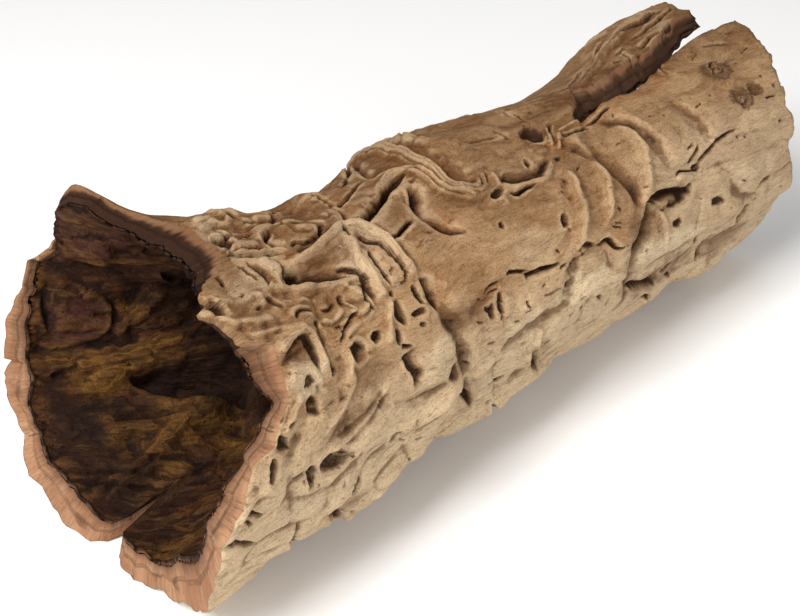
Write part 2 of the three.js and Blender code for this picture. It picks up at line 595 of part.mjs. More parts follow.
// Merges edges, cheapest first, until the target number of triangles is left. The shape stays one
// closed body: an edge goes only where its ends share two neighbours and no face turns over. The
// flat spots that the log rests on keep their outlines
function thinOut({ points, faces }, target) {
  const quadrics = points.map(() => new Float64Array(10));
  const around = points.map(() => new Set());
  faces.forEach((face, index) => {
    const plane = planeQuadric(...face.map((corner) => points[corner]));
    for (const corner of face) {
      quadrics[corner].forEach((_, term) => {
        quadrics[corner][term] += plane[term];
      });
      around[corner].add(index);
    }
  });
  const stamp = new Int32Array(points.length);
  const alive = faces.map(() => true);
  const queue = new EdgeQueue();
  const neighbours = (corner) => {
    const found = new Set();
    for (const index of around[corner]) {
      faces[index].forEach((other) => found.add(other));
    }
    found.delete(corner);
    return found;
  };
  const offer = (a, b) => {
    const sum = quadrics[a].map((value, term) => value + quadrics[b][term]);
    const places = [points[a], points[b], points[a].clone().lerp(points[b], 0.5)];
    const errors = places.map((place) => quadricError(sum, place));
    const best = errors.indexOf(Math.min(...errors));
    const length = points[a].distanceToSquared(points[b]);
    queue.push({ a, b, place: places[best], cost: errors[best] + 0.002 * length, at: stamp[a] + stamp[b] });
  };
  for (const [a, b, c] of faces) {
    [[a, b], [b, c], [c, a]].filter(([p, q]) => p < q).forEach(([p, q]) => offer(p, q));
  }
  const turnsOver = (corner, other, place) => {
    for (const index of around[corner]) {
      const face = faces[index];
      if (!face.includes(other)) {
        const [p, q, r] = face.map((item) => points[item]);
        const [s, t, u] = face.map((item) => (item === corner ? place : points[item]));
        const before = q.clone().sub(p).cross(r.clone().sub(p)).normalize();
        const after = t.clone().sub(s).cross(u.clone().sub(s));
        const size = after.length();
        const longest = Math.max(s.distanceTo(t), t.distanceTo(u), u.distanceTo(s));
        if (before.dot(after) < 0.25 * size || size < 0.04 * longest * longest) {
          return true;
        }
      }
    }
    return false;
  };
  const onFloor = (corner) => points[corner].z === 0;
  let left = faces.length;
  while (left > target && queue.items.length > 0) {
    const { a, b, place, at } = queue.pop();
    const gone = around[a].size === 0 || around[b].size === 0;
    if (gone || at !== stamp[a] + stamp[b] || onFloor(a) !== onFloor(b)) {
      continue;
    }
    const [nearA, nearB] = [neighbours(a), neighbours(b)];
    const shared = [...nearA].filter((item) => nearB.has(item));
    if (!nearA.has(b) || shared.length !== 2 || turnsOver(a, b, place) || turnsOver(b, a, place)) {
      continue;
    }
    for (const index of [...around[b]]) {
      const face = faces[index];
      if (face.includes(a)) {
        alive[index] = false;
        face.forEach((corner) => around[corner].delete(index));
        left -= 1;
      } else {
        face[face.indexOf(b)] = a;
        around[a].add(index);
      }
    }
    around[b].clear();
    points[a] = place;
    quadrics[a].forEach((_, term) => {
      quadrics[a][term] += quadrics[b][term];
    });
    stamp[a] += 1;
    stamp[b] += 1;
    for (const near of neighbours(a)) {
      offer(Math.min(a, near), Math.max(a, near));
    }
  }
  return { points, faces: faces.filter((_, index) => alive[index]) };
}

// Tilts the log onto its three low points and cuts those flat, then centres it over its base
function layDown(points) {
  const tilt = new THREE.Matrix4().makeRotationY(radians(REST_TILT));
  points.forEach((point) => point.applyMatrix4(tilt));
  const low = Math.min(...points.map((point) => point.z)) + FLOOR_CUT;
  points.forEach((point) => {
    point.z = Math.max(point.z, low) - low;
  });
}

function centreOverBase(points) {
  const box = new THREE.Box3().setFromPoints(points);
  const middle = box.getCenter(new THREE.Vector3());
  points.forEach((point) => point.sub(new THREE.Vector3(middle.x, middle.y, box.min.z)));
}

function logGeometry() {
  const grid = logGrid();
  layDown(grid.points);
  const thin = thinOut(grid, TARGET_TRIANGLES);
  const used = new Map();
  const corners = thin.faces.flat().map((corner) => {
    if (!used.has(corner)) {
      used.set(corner, used.size);
    }
    return used.get(corner);
  });
  const kept = [...used.keys()].map((corner) => thin.points[corner].clone());
  centreOverBase(kept);
  const geometry = new THREE.BufferGeometry();
  geometry.setAttribute("position", new THREE.Float32BufferAttribute(kept.flatMap((p) => p.toArray()), 3));
  geometry.setIndex(corners);
  geometry.computeVertexNormals();
  return geometry;
}

const wood = new THREE.MeshStandardMaterial({ color: WOOD_COLOR, roughness: 0.82, metalness: 0 });
const log = new THREE.Mesh(logGeometry(), wood);
log.name = "grapewood_log";

const part = new THREE.Group();
part.add(log);

export default part;
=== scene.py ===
# Grapewood hide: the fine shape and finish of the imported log, with its floor, light and camera.
# Places on the log are (x, angle): x in millimetres along it from the mouth, and the angle in
# degrees round it, 0 on top, 90 at the front (-Y), 180 underneath and 270 at the back. One degree
# is close to one millimetre round the log, so both count alike in distances. The log is shaped in
# millimetres in its own frame, and lay_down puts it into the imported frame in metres.
import json
import math

import bpy
import numpy as np
from mathutils import Matrix, Vector
from mathutils.kdtree import KDTree

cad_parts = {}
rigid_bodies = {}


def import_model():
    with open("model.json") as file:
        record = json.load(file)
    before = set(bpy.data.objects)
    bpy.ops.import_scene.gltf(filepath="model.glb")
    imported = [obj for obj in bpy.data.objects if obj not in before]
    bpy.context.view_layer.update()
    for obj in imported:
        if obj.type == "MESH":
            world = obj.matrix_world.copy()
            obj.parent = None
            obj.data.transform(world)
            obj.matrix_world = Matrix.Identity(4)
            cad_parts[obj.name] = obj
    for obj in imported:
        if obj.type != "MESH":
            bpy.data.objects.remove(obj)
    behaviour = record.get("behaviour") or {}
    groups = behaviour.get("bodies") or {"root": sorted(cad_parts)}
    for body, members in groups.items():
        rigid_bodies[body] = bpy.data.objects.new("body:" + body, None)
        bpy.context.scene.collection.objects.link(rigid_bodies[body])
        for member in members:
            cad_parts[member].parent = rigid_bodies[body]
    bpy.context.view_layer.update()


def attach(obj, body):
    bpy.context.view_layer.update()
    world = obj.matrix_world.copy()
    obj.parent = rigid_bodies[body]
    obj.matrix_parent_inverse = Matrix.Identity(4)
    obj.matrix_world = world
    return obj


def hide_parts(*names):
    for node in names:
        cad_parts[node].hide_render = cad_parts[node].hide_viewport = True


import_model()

# The log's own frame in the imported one: it is tilted onto its low points and centred over them
LENGTH = 345.0
REST_TILT = 3.1
CENTRE_X = 160.43
CENTRE_Y = 3.81
FLOOR_LEVEL = -77.36
MM = 0.001

# The thinnest wall, and how far from the ends the rows of points still follow the torn edges
LEAST_WALL = 5.5
MOUTH_REACH = 85.0
END_REACH = 90.0

# Triangles that are kept, and how much more readily the unseen side gives up its own
TRIANGLES = 196000
UNSEEN_THINNING = 3e-4

# What the photograph shows: the skin within so many degrees of a middle angle, and so many
# millimetres of the hollow
SEEN_MIDDLE = 49
SEEN_HALF = 98
HOLLOW_SEEN = 90

# Where the lines of points lie across a torn wall, from the skin to the hollow
WALL_SHARES = (0.04, 0.12, 0.22, 0.34, 0.46, 0.58, 0.7, 0.8, 0.88)

# How dark the far end and the sides of the split are stained
FAR_STAIN = 0.8

# How much deeper than their tables say the gouges, ropes and pits are cut
CARVING = 1.3

# What is known of each point: whether it is on a torn face and inside the hollow, how deep it
# lies in a dip and how high on a crest, its place, its height over the bare log, its share of the
# way across a torn wall, how stained that is, and whether it is on a side of the split
# The material paints shade into the dips and highlights onto the crests.
FACTS = 10
CUT, INSIDE, DIP, CREST, PLACE_X, PLACE_ANGLE, HEIGHT, ACROSS, STAIN, ON_SPLIT = range(FACTS)

# Radii of the bare log, every 45 degrees from the top round by the front, at places along it
SECTIONS = [
    (-25, (72, 70, 72, 76, 76, 86, 80, 80)),
    (0, (68, 68, 70, 74, 73, 78, 74, 79)),
    (30, (60, 62, 66, 70, 64, 66, 64, 62)),
    (60, (54, 59, 62, 69, 62, 58, 54, 46)),
    (90, (55, 60, 60, 67, 61, 57, 52, 44)),
    (120, (57, 58, 58, 63, 60, 56, 52, 50)),
    (150, (57, 58, 58, 61, 60, 56, 54, 53)),
    (185, (54, 57, 56, 59, 58, 56, 54, 52)),
    (220, (52, 56, 55, 55, 57, 54, 54, 50)),
    (250, (50, 54, 52, 52, 57, 53, 54, 54)),
    (280, (49, 52, 52, 53, 58, 55, 56, 64)),
    (310, (47, 50, 50, 52, 57, 54, 58, 72)),
    (345, (50, 48, 47, 48, 50, 48, 58, 70)),
]

# Where the outer skin and the hollow start at the mouth, and where the log ends, as (angle, x)
MOUTH_OUTER = [
    (0, 25), (14, 26), (17.5, 23), (20, 19), (22.5, 18), (24, 13), (26, 9.5), (28.5, 4), (30.5, 4.5),
    (32.4, 6.5), (33.6, 0.5), (34.8, -2.5), (36.4, -1), (38, 2.5), (42, 5), (46, 8), (52, 19), (60, 19),
    (67, 18), (73, 12), (78, 8), (82, -4), (90, -8), (95, -15), (102, -20), (112, -23), (125, -21),
    (140, -17), (155, -15), (172, -15), (186, -17), (190, -14), (193.5, 16), (197, -13), (201, -18),
    (212, -20), (226, -23), (238, -18), (248, -19), (256, -20), (258, -14), (260, -18), (272, -16),
    (286, -8), (295, -5), (305, 4), (316, 6), (324, 3), (329, 5), (334, 12), (341, 18), (350, 24),
]
MOUTH_INNER = [
    (0, 10), (15, 12), (24, 6), (34, 3), (46, 7), (56, 9), (64, 14), (70, 16), (76, 9), (82, -1),
    (90, -11), (100, -18), (112, -19), (125, -16), (140, -13), (155, -12), (172, -12), (186, -14),
    (190, -12), (193.5, 13), (197, -12), (205, -16), (225, -19), (242, -17), (256, -14), (272, -11),
    (286, -4), (300, 2), (312, 0), (322, -2), (332, 2), (345, 8),
]
FAR_END = [
    (0, 345), (12, 343), (22, 339), (32, 333), (42, 329), (52, 326), (64, 329), (76, 322), (88, 324),
    (102, 328), (125, 326), (150, 331), (180, 328), (210, 330), (232, 324), (250, 306), (268, 286),
    (292, 278), (302, 283), (311, 322), (322, 331), (334, 326), (346, 343),
]

# Thickness of the wall, as (angle, mm)
WALL = [
    (0, 10), (30, 9), (45, 10), (60, 12), (75, 10), (90, 11), (110, 13), (130, 17), (150, 17),
    (172, 12), (195, 9), (212, 16), (228, 16), (242, 12), (256, 12), (270, 9), (300, 8), (330, 8),
]

# How far the hollow flares out at the mouth, which leaves a thin rim, as (angle, mm)
FLARE = [(0, 6), (20, 7), (46, 6), (62, 2), (80, 0), (262, 0), (285, 4), (320, 6)]
FLARE_REACH = 16.0

# How dark the torn face at the mouth is stained, and where the skin wraps over it, as (angle, share)
RIM_STAIN = [
    (0, 1), (26, 1), (44, 0.45), (60, 0.4), (80, 0.3), (104, 0.12), (185, 0), (250, 0), (272, 0.4),
    (284, 0.5), (312, 1),
]
RIM_SKIN = [(0, 0), (20, 0), (25, 1), (45, 1), (50, 0)]

# The split along the top: (x, angle of its middle, half its width, slope of the strip's torn edge)
SPLIT = [
    (172, 17, -1, 0), (178, 17, 2.5, 3), (185, 17, 3.5, 5), (191, 16, -0.8, 3), (204, 17, -1, 3),
    (210, 17.5, 1.2, 6), (218, 15, 1.8, 10), (230, 9.5, 3.2, 14), (243, 9, 2.6, 15), (252, 8, 3.2, 14),
    (262, 4, 3.8, 13), (272, 0, 3.6, 10), (284, -4, 2.6, 7), (296, -8, 3.4, 5), (310, -12, 5, 3),
    (325, -14, 6, 2), (360, -15, 6.5, 2),
]

# Broad swellings, or hollows when negative: x, angle, reach along x, reach around, height
SWELLS = [
    (2, 329, 13, 7, 9), (30, 118, 18, 13, 2), (54, 136, 13, 14, 5), (90, 130, 15, 15, -6),
    (123, 130, 12, 12, 2), (148, 134, 9, 12, 3), (162, 128, 9, 12, -3), (184, 124, 12, 12, -1),
    (232, 130, 13, 12, 4), (268, 128, 13, 12, 4), (318, 116, 14, 12, -5), (95, 342, 12, 16, -5),
    (127, 320, 9, 12, -3), (140, 5, 14, 22, 2.5), (316, 352, 18, 12, 2), (60, 72, 20, 12, 1.5),
    (310, 318, 16, 14, -3), (-8, 210, 26, 12, 6.5), (-4, 166, 22, 10, 2), (298, 184, 34, 24, 5),
    # carved relief of the front
    (108, 73, 11, 5, -1.8), (121, 73, 8, 8, -1.4), (115, 33, 5, 9, -1.4), (136, 8, 7, 16, -1.2),
    (212, 44, 8, 15, -1.5), (188, 50, 5, 14, -1.2), (225, 107, 15, 7, -2.4), (275, 112, 13, 8, -2.4),
    (45, 86, 15, 4, -1.4), (57, 73, 10, 6, -1.2), (15, 105, 9, 5, -1.2), (155, 92, 14, 9, 1.2),
    (116, 51, 20, 11, 2), (303, 18, 14, 10, 2.6), (300, 39, 6, 6, 1.6), (248, 84, 20, 8, 1.2),
    (22, -6, 6, 8, -3), (31, -2, 5, 5, 2.6), (45, -8, 7, 8, 4), (39, 12, 6, 3.5, 1.8),
    (60, 15, 8, 6, 1.8), (50, 5, 5, 4, 1.4), (58, -4, 8, 7, 1.8), (71, -4, 4, 10, -3.4),
    (80, -6, 6, 8, 1.6), (76, 12, 5, 6, 0.8), (62, 24, 10, 3, 1), (57, 34, 9, 5, -3),
    (94, 14, 8, 4, 1.2), (96, 26, 9, 4, 1), (118, 24, 7, 9, 1.6), (98, 44, 8, 8, 1.4),
    (86, 62, 4, 10, 1.2), (60, 74, 9, 7, -1.2), (56, 95, 12, 4, 1.2), (88, 88, 6, 6, 1.4),
    (160, 56, 12, 9, 1), (60, 60, 8, 5, -0.8), (137, 112, 4, 3, -1), (27, 57, 7, 3, -1.2),
    (93, 100, 10, 6, 1.5), (185, 88, 18, 6, 1.4),
]

# Gouges with one steep wall and a ramp that rises from its foot. The ramp lies below a path that
# runs towards +x, and on the +x side of one that runs up over the log. Each is its path, the width
# of its wall and of its ramp, depth, lip over the wall, and the share of its length that tapers at
# its start and end. The last three are 0.3, 0.2 and 0.2 where a row leaves them out. A negative
# depth makes a raised plate edge
GOUGES = [
    # torn top edge behind the mouth
    ([(48, 22), (40, 20.5), (34, 18.5), (28, 16)], 0.8, 4.4, 9, 0.6, 0.15, 0.1),
    ([(27, 15), (30, 13), (38, 14), (44, 16.5)], 0.5, 1.6, 2.4, 0.4, 0.2, 0.2),
    ([(33, 4.5), (38, 6.5), (45, 8)], 0.5, 1.8, 2, 0.4, 0.2, 0.2),
    ([(43, -16), (44, -8), (46, 0)], 0.6, 2.4, 2.4, 0.4, 0.2, 0.2),
    ([(52, 21), (56, 19), (60, 21), (66, 19.5)], 0.4, 1.6, 1.8),
    ([(66, 21), (67, 18), (70, 15)], 0.5, 2, 2.4),
    ([(60, 9), (66, 12), (72, 18)], 0.5, 3, 1.6),
    ([(80, 20), (81, 14), (79.5, 8)], 0.5, 2.4, 2),
    ([(52, 8), (58, 2), (64, -8)], 0.5, 3, 2, 0.3, 0.2, 0.3),
    ([(28.5, 30.5), (28, 26), (27.5, 22)], 0.6, 1.2, 2.6, 0.3, 0.3, 0.1),
    ([(31.5, 34), (31.8, 28), (32, 21)], 0.8, 1.6, 3.2, 0, 0.2, 0.1),
    ([(40.5, 34.5), (42.5, 29), (41.5, 23)], 0.7, 2, 5, 0, 0.15, 0.15),
    ([(67, 42), (60, 39), (52, 37), (45, 35), (39, 34.5)], 0.8, 6, 4, 0.3, 0.2, 0.1),
    ([(44, 47.5), (38, 45.3), (33, 46.5)], 0.4, 1.6, 1.4),
    ([(16.5, 29), (17, 26), (16, 23)], 0.5, 1.5, 2.4, 0.3, 0.3, 0.1),
    ([(51, 20), (47, 17.5), (46.2, 14), (48, 11), (52, 9.5)], 0.7, 3, 4.5, 0.4, 0.15, 0.2),
    ([(59, 5.5), (58, 7.5), (57.3, 9.8)], 0.4, 0.9, 1.2, 0.1, 0.3, 0.3),
    ([(72.5, 9.5), (73.4, 13), (75.5, 14), (76.5, 10)], 0.3, 0.8, 1.2, 0.1, 0.2, 0.2),
    ([(64.5, -1), (66, -6), (68, -14)], 0.5, 1.1, 1.8, 0.2, 0.2, 0.3),
    # the hood of ropes that arches behind it
    ([(91, 52), (88.6, 42), (87.2, 34), (84, 26.5), (78.5, 21), (72, 19.8), (66, 22.6), (58, 25),
      (50, 25.6)],
     0.7, 5, 2.2, 0.3, 0.2, 0.1),
    ([(83, 54), (84.5, 48), (84, 42), (82, 36), (79.5, 31.5), (77.5, 28)], 0.5, 1.5, 2.8, 0.3, 0.3, 0.08),
    ([(62, 34.3), (66, 36), (69.4, 39.5), (70.2, 44), (69.2, 49), (69, 54)], 0.6, 3.6, 3, 0.2, 0.2, 0.3),
    ([(58.5, 45), (57.5, 49), (59, 53)], 0.5, 2.2, 1.8),
    ([(44, 50), (42, 54), (42.5, 58)], 0.4, 1.8, 1.6),
    ([(28, 36), (30.5, 39), (32, 43)], 0.5, 2.4, 1.6),
    ([(68, 47), (66, 51), (66.5, 56)], 0.4, 1.6, 1.5),
    ([(46, 47), (51, 48), (55, 46.5)], 0.4, 1.4, 1.2, 0.2, 0.2, 0.2),
    ([(22, 54.6), (28, 53.2), (33.5, 52.8), (35.6, 55.5), (35.4, 60),
      (34.3, 65)], 0.6, 4, 3, 0.3, 0.4, 0.2),
    ([(40.5, 70), (39.5, 64), (40, 60.5), (41.5, 56.5), (43.5, 51)], 0.5, 3, 3.6, 0.4, 0.1, 0.3),
    ([(46.5, 62), (50, 59), (54, 55.5), (58, 53.5), (62, 52)], 0.4, 1.7, 2.2, 0.2, 0.3, 0.3),
    ([(49.4, 58.5), (50.6, 56.5), (50.2, 54.5)], 0.3, 0.9, 1.4, 0.1, 0.3, 0.3),
    ([(86.5, 53), (87.6, 57), (87.4, 60.6)], 0.5, 3, 2.6, 0.3, 0.2, 0.1),
    ([(95.5, 67), (93, 64.5), (92.2, 61.5), (91.7, 57), (90.4, 52)], 0.7, 4.6, 5, 0.8, 0.2, 0.1),
    ([(72.8, 70), (75, 71), (77.5, 72.8)], 0.4, 1.9, 2.6, 0.3, 0.1, 0.3),
    ([(77.6, 88.5), (76, 85), (74, 79.5), (72.3, 74)], 0.7, 7, 4.2, 0.8, 0.15, 0.08),
    # long dark grooves over the top
    ([(104, 1), (101, 3), (95, 6), (89, 9), (83, 11)], 0.5, 1.8, 2.4, 0.3, 0.3, 0.1),
    ([(121, 11.5), (118, 9.5), (114, 10.8), (109, 12), (104, 15.6), (101, 17.5), (97, 19.2), (92, 21),
      (88, 23), (84.5, 24.5)], 0.6, 4.2, 4.8, 0.4, 0.3, 0.05),
    ([(101, 12.2), (97.5, 13.3), (94, 14.2)], 0.3, 1, 1.1, 0, 0.3, 0.3),
    ([(104.5, 31.6), (100, 32.3), (96, 33.6), (92, 35.6)], 0.5, 2, 3.6, 0.4, 0.3, 0.1),
    ([(93.5, 33.8), (91, 35), (88, 36.3)], 0.5, 1.8, 3.4, 0.3, 0.2, 0.1),
    ([(124.5, 45.8), (119, 43.7), (114, 41.3), (111, 38.6), (109, 35), (107.6, 31), (107.2, 27.5),
      (109, 24), (110.6, 20.5), (111.3, 16.2)], 0.7, 5.5, 5.5, 0.6, 0.45, 0.06),
    ([(92, 1), (97, -3), (101, -9), (107, -16), (114, -26), (120, -38), (125, -48)], 0.6, 2.6, 3.4),
    ([(130.5, -6.5), (134, -10.5), (140, -18), (148, -30), (156, -42)], 0.4, 1.1, 1.3, 0.2, 0.2, 0.2),
    ([(81, 9.5), (83, 6.5), (82, 0.5), (80.5, -7)], 0.5, 2, 2.4, 0.3, 0.2, 0.3),
    # broad steps and valleys between the folds
    ([(110, 118), (104, 100), (103, 85), (97, 68), (86, 50)], 5, 9, 2.8, 0.3, 0.3, 0.2),
    ([(215, 125), (205, 103), (206, 84), (213, 65), (205, 45), (186, 20)], 5, 9, 2.6, 0.3, 0.3, 0.2),
    ([(121, 12), (109, 13), (98, 19), (84, 25)], 2.4, 9, 1.8, 0, 0.3, 0.2),
    ([(123, 46), (111, 40), (107, 28), (111, 15)], 2.4, 11, 1.6, 0, 0.3, 0.2),
    ([(36, 67), (30, 72), (20, 78), (8, 90)], 3, 7, 1.4, 0.3, 0.3, 0.3),
    ([(30, 91), (44, 90), (58, 85), (68, 79)], 2.4, 6, 1.4, 0.4, 0.3, 0.3),
    ([(26, 103), (40, 102), (50, 99)], 2, 6, 1.4, 0.4, 0.3, 0.3),
    ([(4, 102), (8, 98), (24, 92)], 2, 6, 1.2, 0.3, 0.3, 0.3),
    ([(172, 70), (168, 80), (160, 92)], 4, 8, 1.6, 0.3, 0.3, 0.3),
    ([(120, 100), (140, 92), (160, 90), (176, 96)], 4, 9, 1.8, 0.3, 0.3, 0.3),
    ([(205, 18), (225, 26), (236, 44), (236, 60)], 4, 9, 1.8, 0.3, 0.3, 0.3),
    ([(258, 20), (268, 40), (266, 56)], 4, 10, 1.4, 0.3, 0.3, 0.3),
    ([(270, 70), (280, 84), (300, 92)], 4, 9, 1.6, 0.3, 0.3, 0.3),
    # the swirl of ropes
    ([(120, 2.5), (116, 2.8), (110, 2.8), (105, 3)], 0.5, 6, 2.2, 0.2, 0.2, 0.1),
    ([(105, 3.4), (106.5, -2), (109, -8), (113, -18), (119, -30)], 0.6, 4, 2.4, 0.2, 0.1, 0.3),
    ([(139.5, 29.8), (141.5, 27.5), (143, 24.5)], 0.3, 1, 1.5, 0.2, 0.2, 0.2),
    ([(143.3, 29.2), (145, 26.5), (146.2, 23.8)], 0.3, 1, 1.5, 0.2, 0.2, 0.2),
    ([(144, 24), (140, 26.5), (136, 27), (132.5, 25), (130, 21.5), (129, 16), (128.7, 10), (127.5, 2),
      (126.8, -6), (127.5, -16), (129, -30)], 0.6, 9, 3.4, 0.2, 0.15, 0.1),
    ([(165.5, 37.8), (160, 38.6), (156, 39), (151, 38.8), (149.3, 36.5)], 0.5, 2.2, 3.2, 0.3, 0.4, 0.05),
    ([(180, 29), (177, 31.5), (174, 34.2), (170.5, 35.7), (166, 35.4), (160, 34.6), (153, 33.6),
      (149, 30.5)],
     0.7, 6.5, 3, 0.2, 0.2, 0.1),
    ([(165, 12), (163, 10.6), (156, 10.1), (148, 10.3)], 0.4, 2.2, 1, 0.1, 0.1, 0.3),
    ([(164, 13.6), (160, 13.6), (157, 13)], 0.3, 1.3, 0.9, 0, 0.2, 0.2),
    ([(168.2, 14.5), (168, 9), (167, 3)], 0.5, 3, 1.3, 0.2, 0.1, 0.3),
    ([(184, -0.5), (185.5, -5), (187.5, -12)], 0.5, 2, 2.8),
    ([(195, 13.5), (191, 18), (188.5, 23)], 0.5, 1.8, 2.6, 0.2, 0.2, 0.2),
    ([(116.5, 38.4), (119, 37.2), (121, 37.5)], 0.3, 0.7, 0.6, 0, 0.2, 0.2),
    # slots and cracks along the front
    ([(118.5, 70), (120.5, 68), (124, 66.6), (128.5, 66.4)], 0.3, 0.9, 1.3, 0.1, 0.2, 0.3),
    ([(120.5, 70.3), (123.5, 69), (127.5, 68.2)], 0.3, 0.9, 1.6, 0.1, 0.2, 0.2),
    ([(115, 69), (116.3, 70.5), (117.5, 70)], 0.3, 0.9, 1.3, 0.1, 0.2, 0.2),
    ([(131.8, 65), (134, 64.6), (138, 66), (141, 67.2), (146, 68.6)], 0.4, 1.7, 3.2, 0.4, 0.06, 0.5),
    ([(140.8, 68.9), (145, 69.2), (150, 69.5), (156, 70.4), (162.5, 71.3)], 0.5, 2.9, 5, 0.5, 0.04, 0.5),
    ([(140, 84), (138.6, 81), (139.4, 78.5)], 0.4, 1.4, 1.6),
    ([(147, 80.2), (155, 80.8), (161.5, 81.3)], 0.3, 1.2, 0.8, 0.1, 0.2, 0.2),
    ([(172, 70.6), (175, 68), (179, 69.4), (183.5, 71.4)], 0.5, 2.7, 2.9, 0.4, 0.1, 0.3),
    ([(185, 73), (187.3, 71.4), (190.5, 72.2), (193.5, 75), (196, 77)], 0.5, 2.9, 3.4, 0.4, 0.1, 0.2),
    ([(193, 75.6), (196, 77.4), (200, 78.6)], 0.4, 1.7, 3.2, 0.3, 0.2, 0.3),
    ([(193.6, 67.6), (196.5, 68.4), (199, 69.8)], 0.3, 0.9, 1.6, 0.1, 0.2, 0.2),
    ([(195.5, 66.4), (200, 67.6)], 0.3, 0.8, 1, 0, 0.2, 0.2),
    ([(204, 83.5), (208, 82.5), (211.5, 78.5), (214, 73), (217, 67),
      (221, 62)], 2, 9, 3.8, 0.8, 0.25, 0.15),
    ([(218, 64.6), (220.5, 62.8), (228, 62.7), (232, 63.6), (238, 65.6), (244, 68), (250, 66.6)],
     0.4, 6.5, 5.5, 0.5, 0.05, 0.15),
    ([(246, 71.5), (240, 72.5), (234, 72), (228, 70.5)], 1.2, 4, 2.2),
    ([(236.5, 61.6), (240, 59.8), (244, 59.6), (249, 61.4), (253, 62)], 0.3, 1.1, 2.2),
    ([(249, 57.6), (252.5, 54), (258.3, 50.9)], 0.5, 1.9, 3.6, 0.4, 0.15, 0.2),
    ([(251, 61.5), (254, 58.5), (258, 56.6), (265, 54.6), (272, 53.2), (281, 52.6), (290.5, 53)],
     0.4, 2.8, 2.4, 0.4, 0.1, 0.4),
    ([(291, 86.6), (298, 84.3), (306, 85.2)], 0.6, 3.5, 1.6),
    ([(260.6, 118), (260.4, 110), (260.8, 103)], 1, 8, 1.8, 0.4, 0.1, 0.2),
    # under the front
    ([(-15, 96), (-11, 94.8), (-7, 95), (-3, 97.5), (0, 99.5)], 0.5, 2.5, 2.8, 0.5, 0.2, 0.3),
    ([(-10, 95.5), (-8.5, 98), (-7, 100)], 0.4, 1.2, 1.8, 0.2, 0.2, 0.2),
    ([(-18, 102.8), (-14, 102.3), (-10, 104), (-7, 106.5), (-4.5, 109)], 0.5, 3.4, 2.6, 0.4, 0.15, 0.3),
    ([(-12, 91.2), (-9.5, 91.6), (-7, 92)], 0.3, 0.8, 1, 0.1, 0.2, 0.2),
    ([(11, 80), (12.6, 82), (14, 84.2)], 0.3, 0.8, 1.6, 0.1, 0.1, 0.3),
    ([(112.5, 117), (109, 112.5), (105.5, 107), (103.4, 103), (101.3, 98.8)], 0.7, 5, 5, 0.7, 0.25, 0.05),
    ([(151, 119), (148, 116), (145.5, 111.5), (144.2, 107.5),
      (143.2, 103.8)], 0.7, 4.2, 4.2, 0.6, 0.3, 0.05),
    ([(234, 118), (226, 114), (218, 110.5), (211, 108), (205, 103)], 0.8, 7, 4.2, 0.6, 0.3, 0.1),
    ([(243, 118), (239, 115), (236, 112.5)], 0.5, 2.5, 2.6),
    ([(232, 128), (226, 122.5), (219, 119.5)], 0.7, 3, 3, 0.4, 0.2, 0.2),
    ([(52, 146), (42, 131), (34, 121), (28, 114.5)], 1, 6, 3.6, 0.5, 0.3, 0.1),
    ([(30, 142), (21, 130), (15, 121), (14, 115), (16, 110)], 0.8, 4, 1.8, 0.5, 0.3, 0.15),
    ([(140, 142), (132, 133), (126, 126), (123, 119)], 0.8, 4, 2.6, 0.5, 0.3, 0.15),
    # beside the split, and on the free strip
    ([(193, 21.8), (197, 22.8), (203, 22.6), (210, 21.4)], 0.5, 1.7, 2.8, 0.3, 0.1, 0.2),
    ([(207, 21.6), (216, 20.4), (222, 18.6), (228, 17), (231, 16)], 0.4, 1.1, 1.8, 0.2, 0.2, 0.2),
    ([(225, 22.5), (227.5, 20.3)], 0.3, 0.9, 1.2, 0.1, 0.2, 0.2),
    ([(232, -13), (240, -18.5), (247, -23), (252, -26), (257, -26)], 0.5, 2, 2.8, 0.4, 0.3, 0.2),
    ([(263, -27), (270, -30.5), (276, -33), (280, -33)], 0.5, 1.8, 2.2),
    ([(271, -20), (275, -20.5), (279, -21)], 0.4, 1.1, 2.2, 0.2, 0.2, 0.2),
    ([(272, -10), (272.8, -15), (274, -20)], 0.5, 1.5, 3, 0.2, 0.1, 0.2),
    ([(282, -15), (288, -17.5), (295, -19.3), (310, -20.6), (324, -21.2)], 0.4, 1.7, 2.4, 0.4, 0.1, 0.1),
    ([(284, -22), (300, -25), (315, -26.5), (326, -30)], 0.4, 1.5, 1.8, 0.3, 0.1, 0.1),
    ([(285, -28.5), (300, -28.8), (320, -30.5)], 0.4, 1.3, 1.6, 0.3, 0.1, 0.1),
    ([(290, -11.5), (300, -12.8), (306, -13)], 0.4, 1.2, 1.8, 0.2, 0.1, 0.1),
    ([(258.5, 2), (262, -1), (266, -4)], 0.4, 1.4, 2, 0.2, 0.2, 0.2),
    ([(230, 7.5), (233, 3.5), (235, 0)], 0.4, 1.5, 2.2, 0.2, 0.2, 0.2),
    ([(310, -1.5), (316, 0), (322, 1.6), (330, 3)], 0.3, 1.3, 1.8, 0, 0.2, 0.3),
    ([(298, 17), (299.5, 14.6), (303, 14.2), (306.5, 16.5), (306, 20.5), (302, 22.6), (298.5, 21),
      (299.5, 18)], 0.4, 0.8, 1, 0.1, 0.1, 0.1),
    ([(300.6, 19.4), (302.4, 17), (304.6, 18.6), (302.6, 20.6)], 0.4, 0.7, 1.2, 0.1, 0.1, 0.1),
    ([(278.5, 7), (279.5, 2), (283, -2)], 0.5, 2, 1.8, 0.2, 0.2, 0.2),
    # rings and checks of the knots
    ([(298, 19), (301, 14), (305, 10.5), (309, 11.5), (313, 14.5)], 0.5, 2.6, 1.6),
    ([(296, 22), (300, 17.5), (304, 15)], 0.4, 1.7, 1.3, 0.2, 0.2, 0.2),
    ([(297.5, 42.5), (300.3, 39.3), (303.5, 43.5)], 0.3, 0.7, 1, 0.1, 0.2, 0.2),
    ([(314.5, 44.5), (318.5, 44.9), (322.5, 46)], 0.3, 1, 1.8, 0.2, 0.2, 0.3),
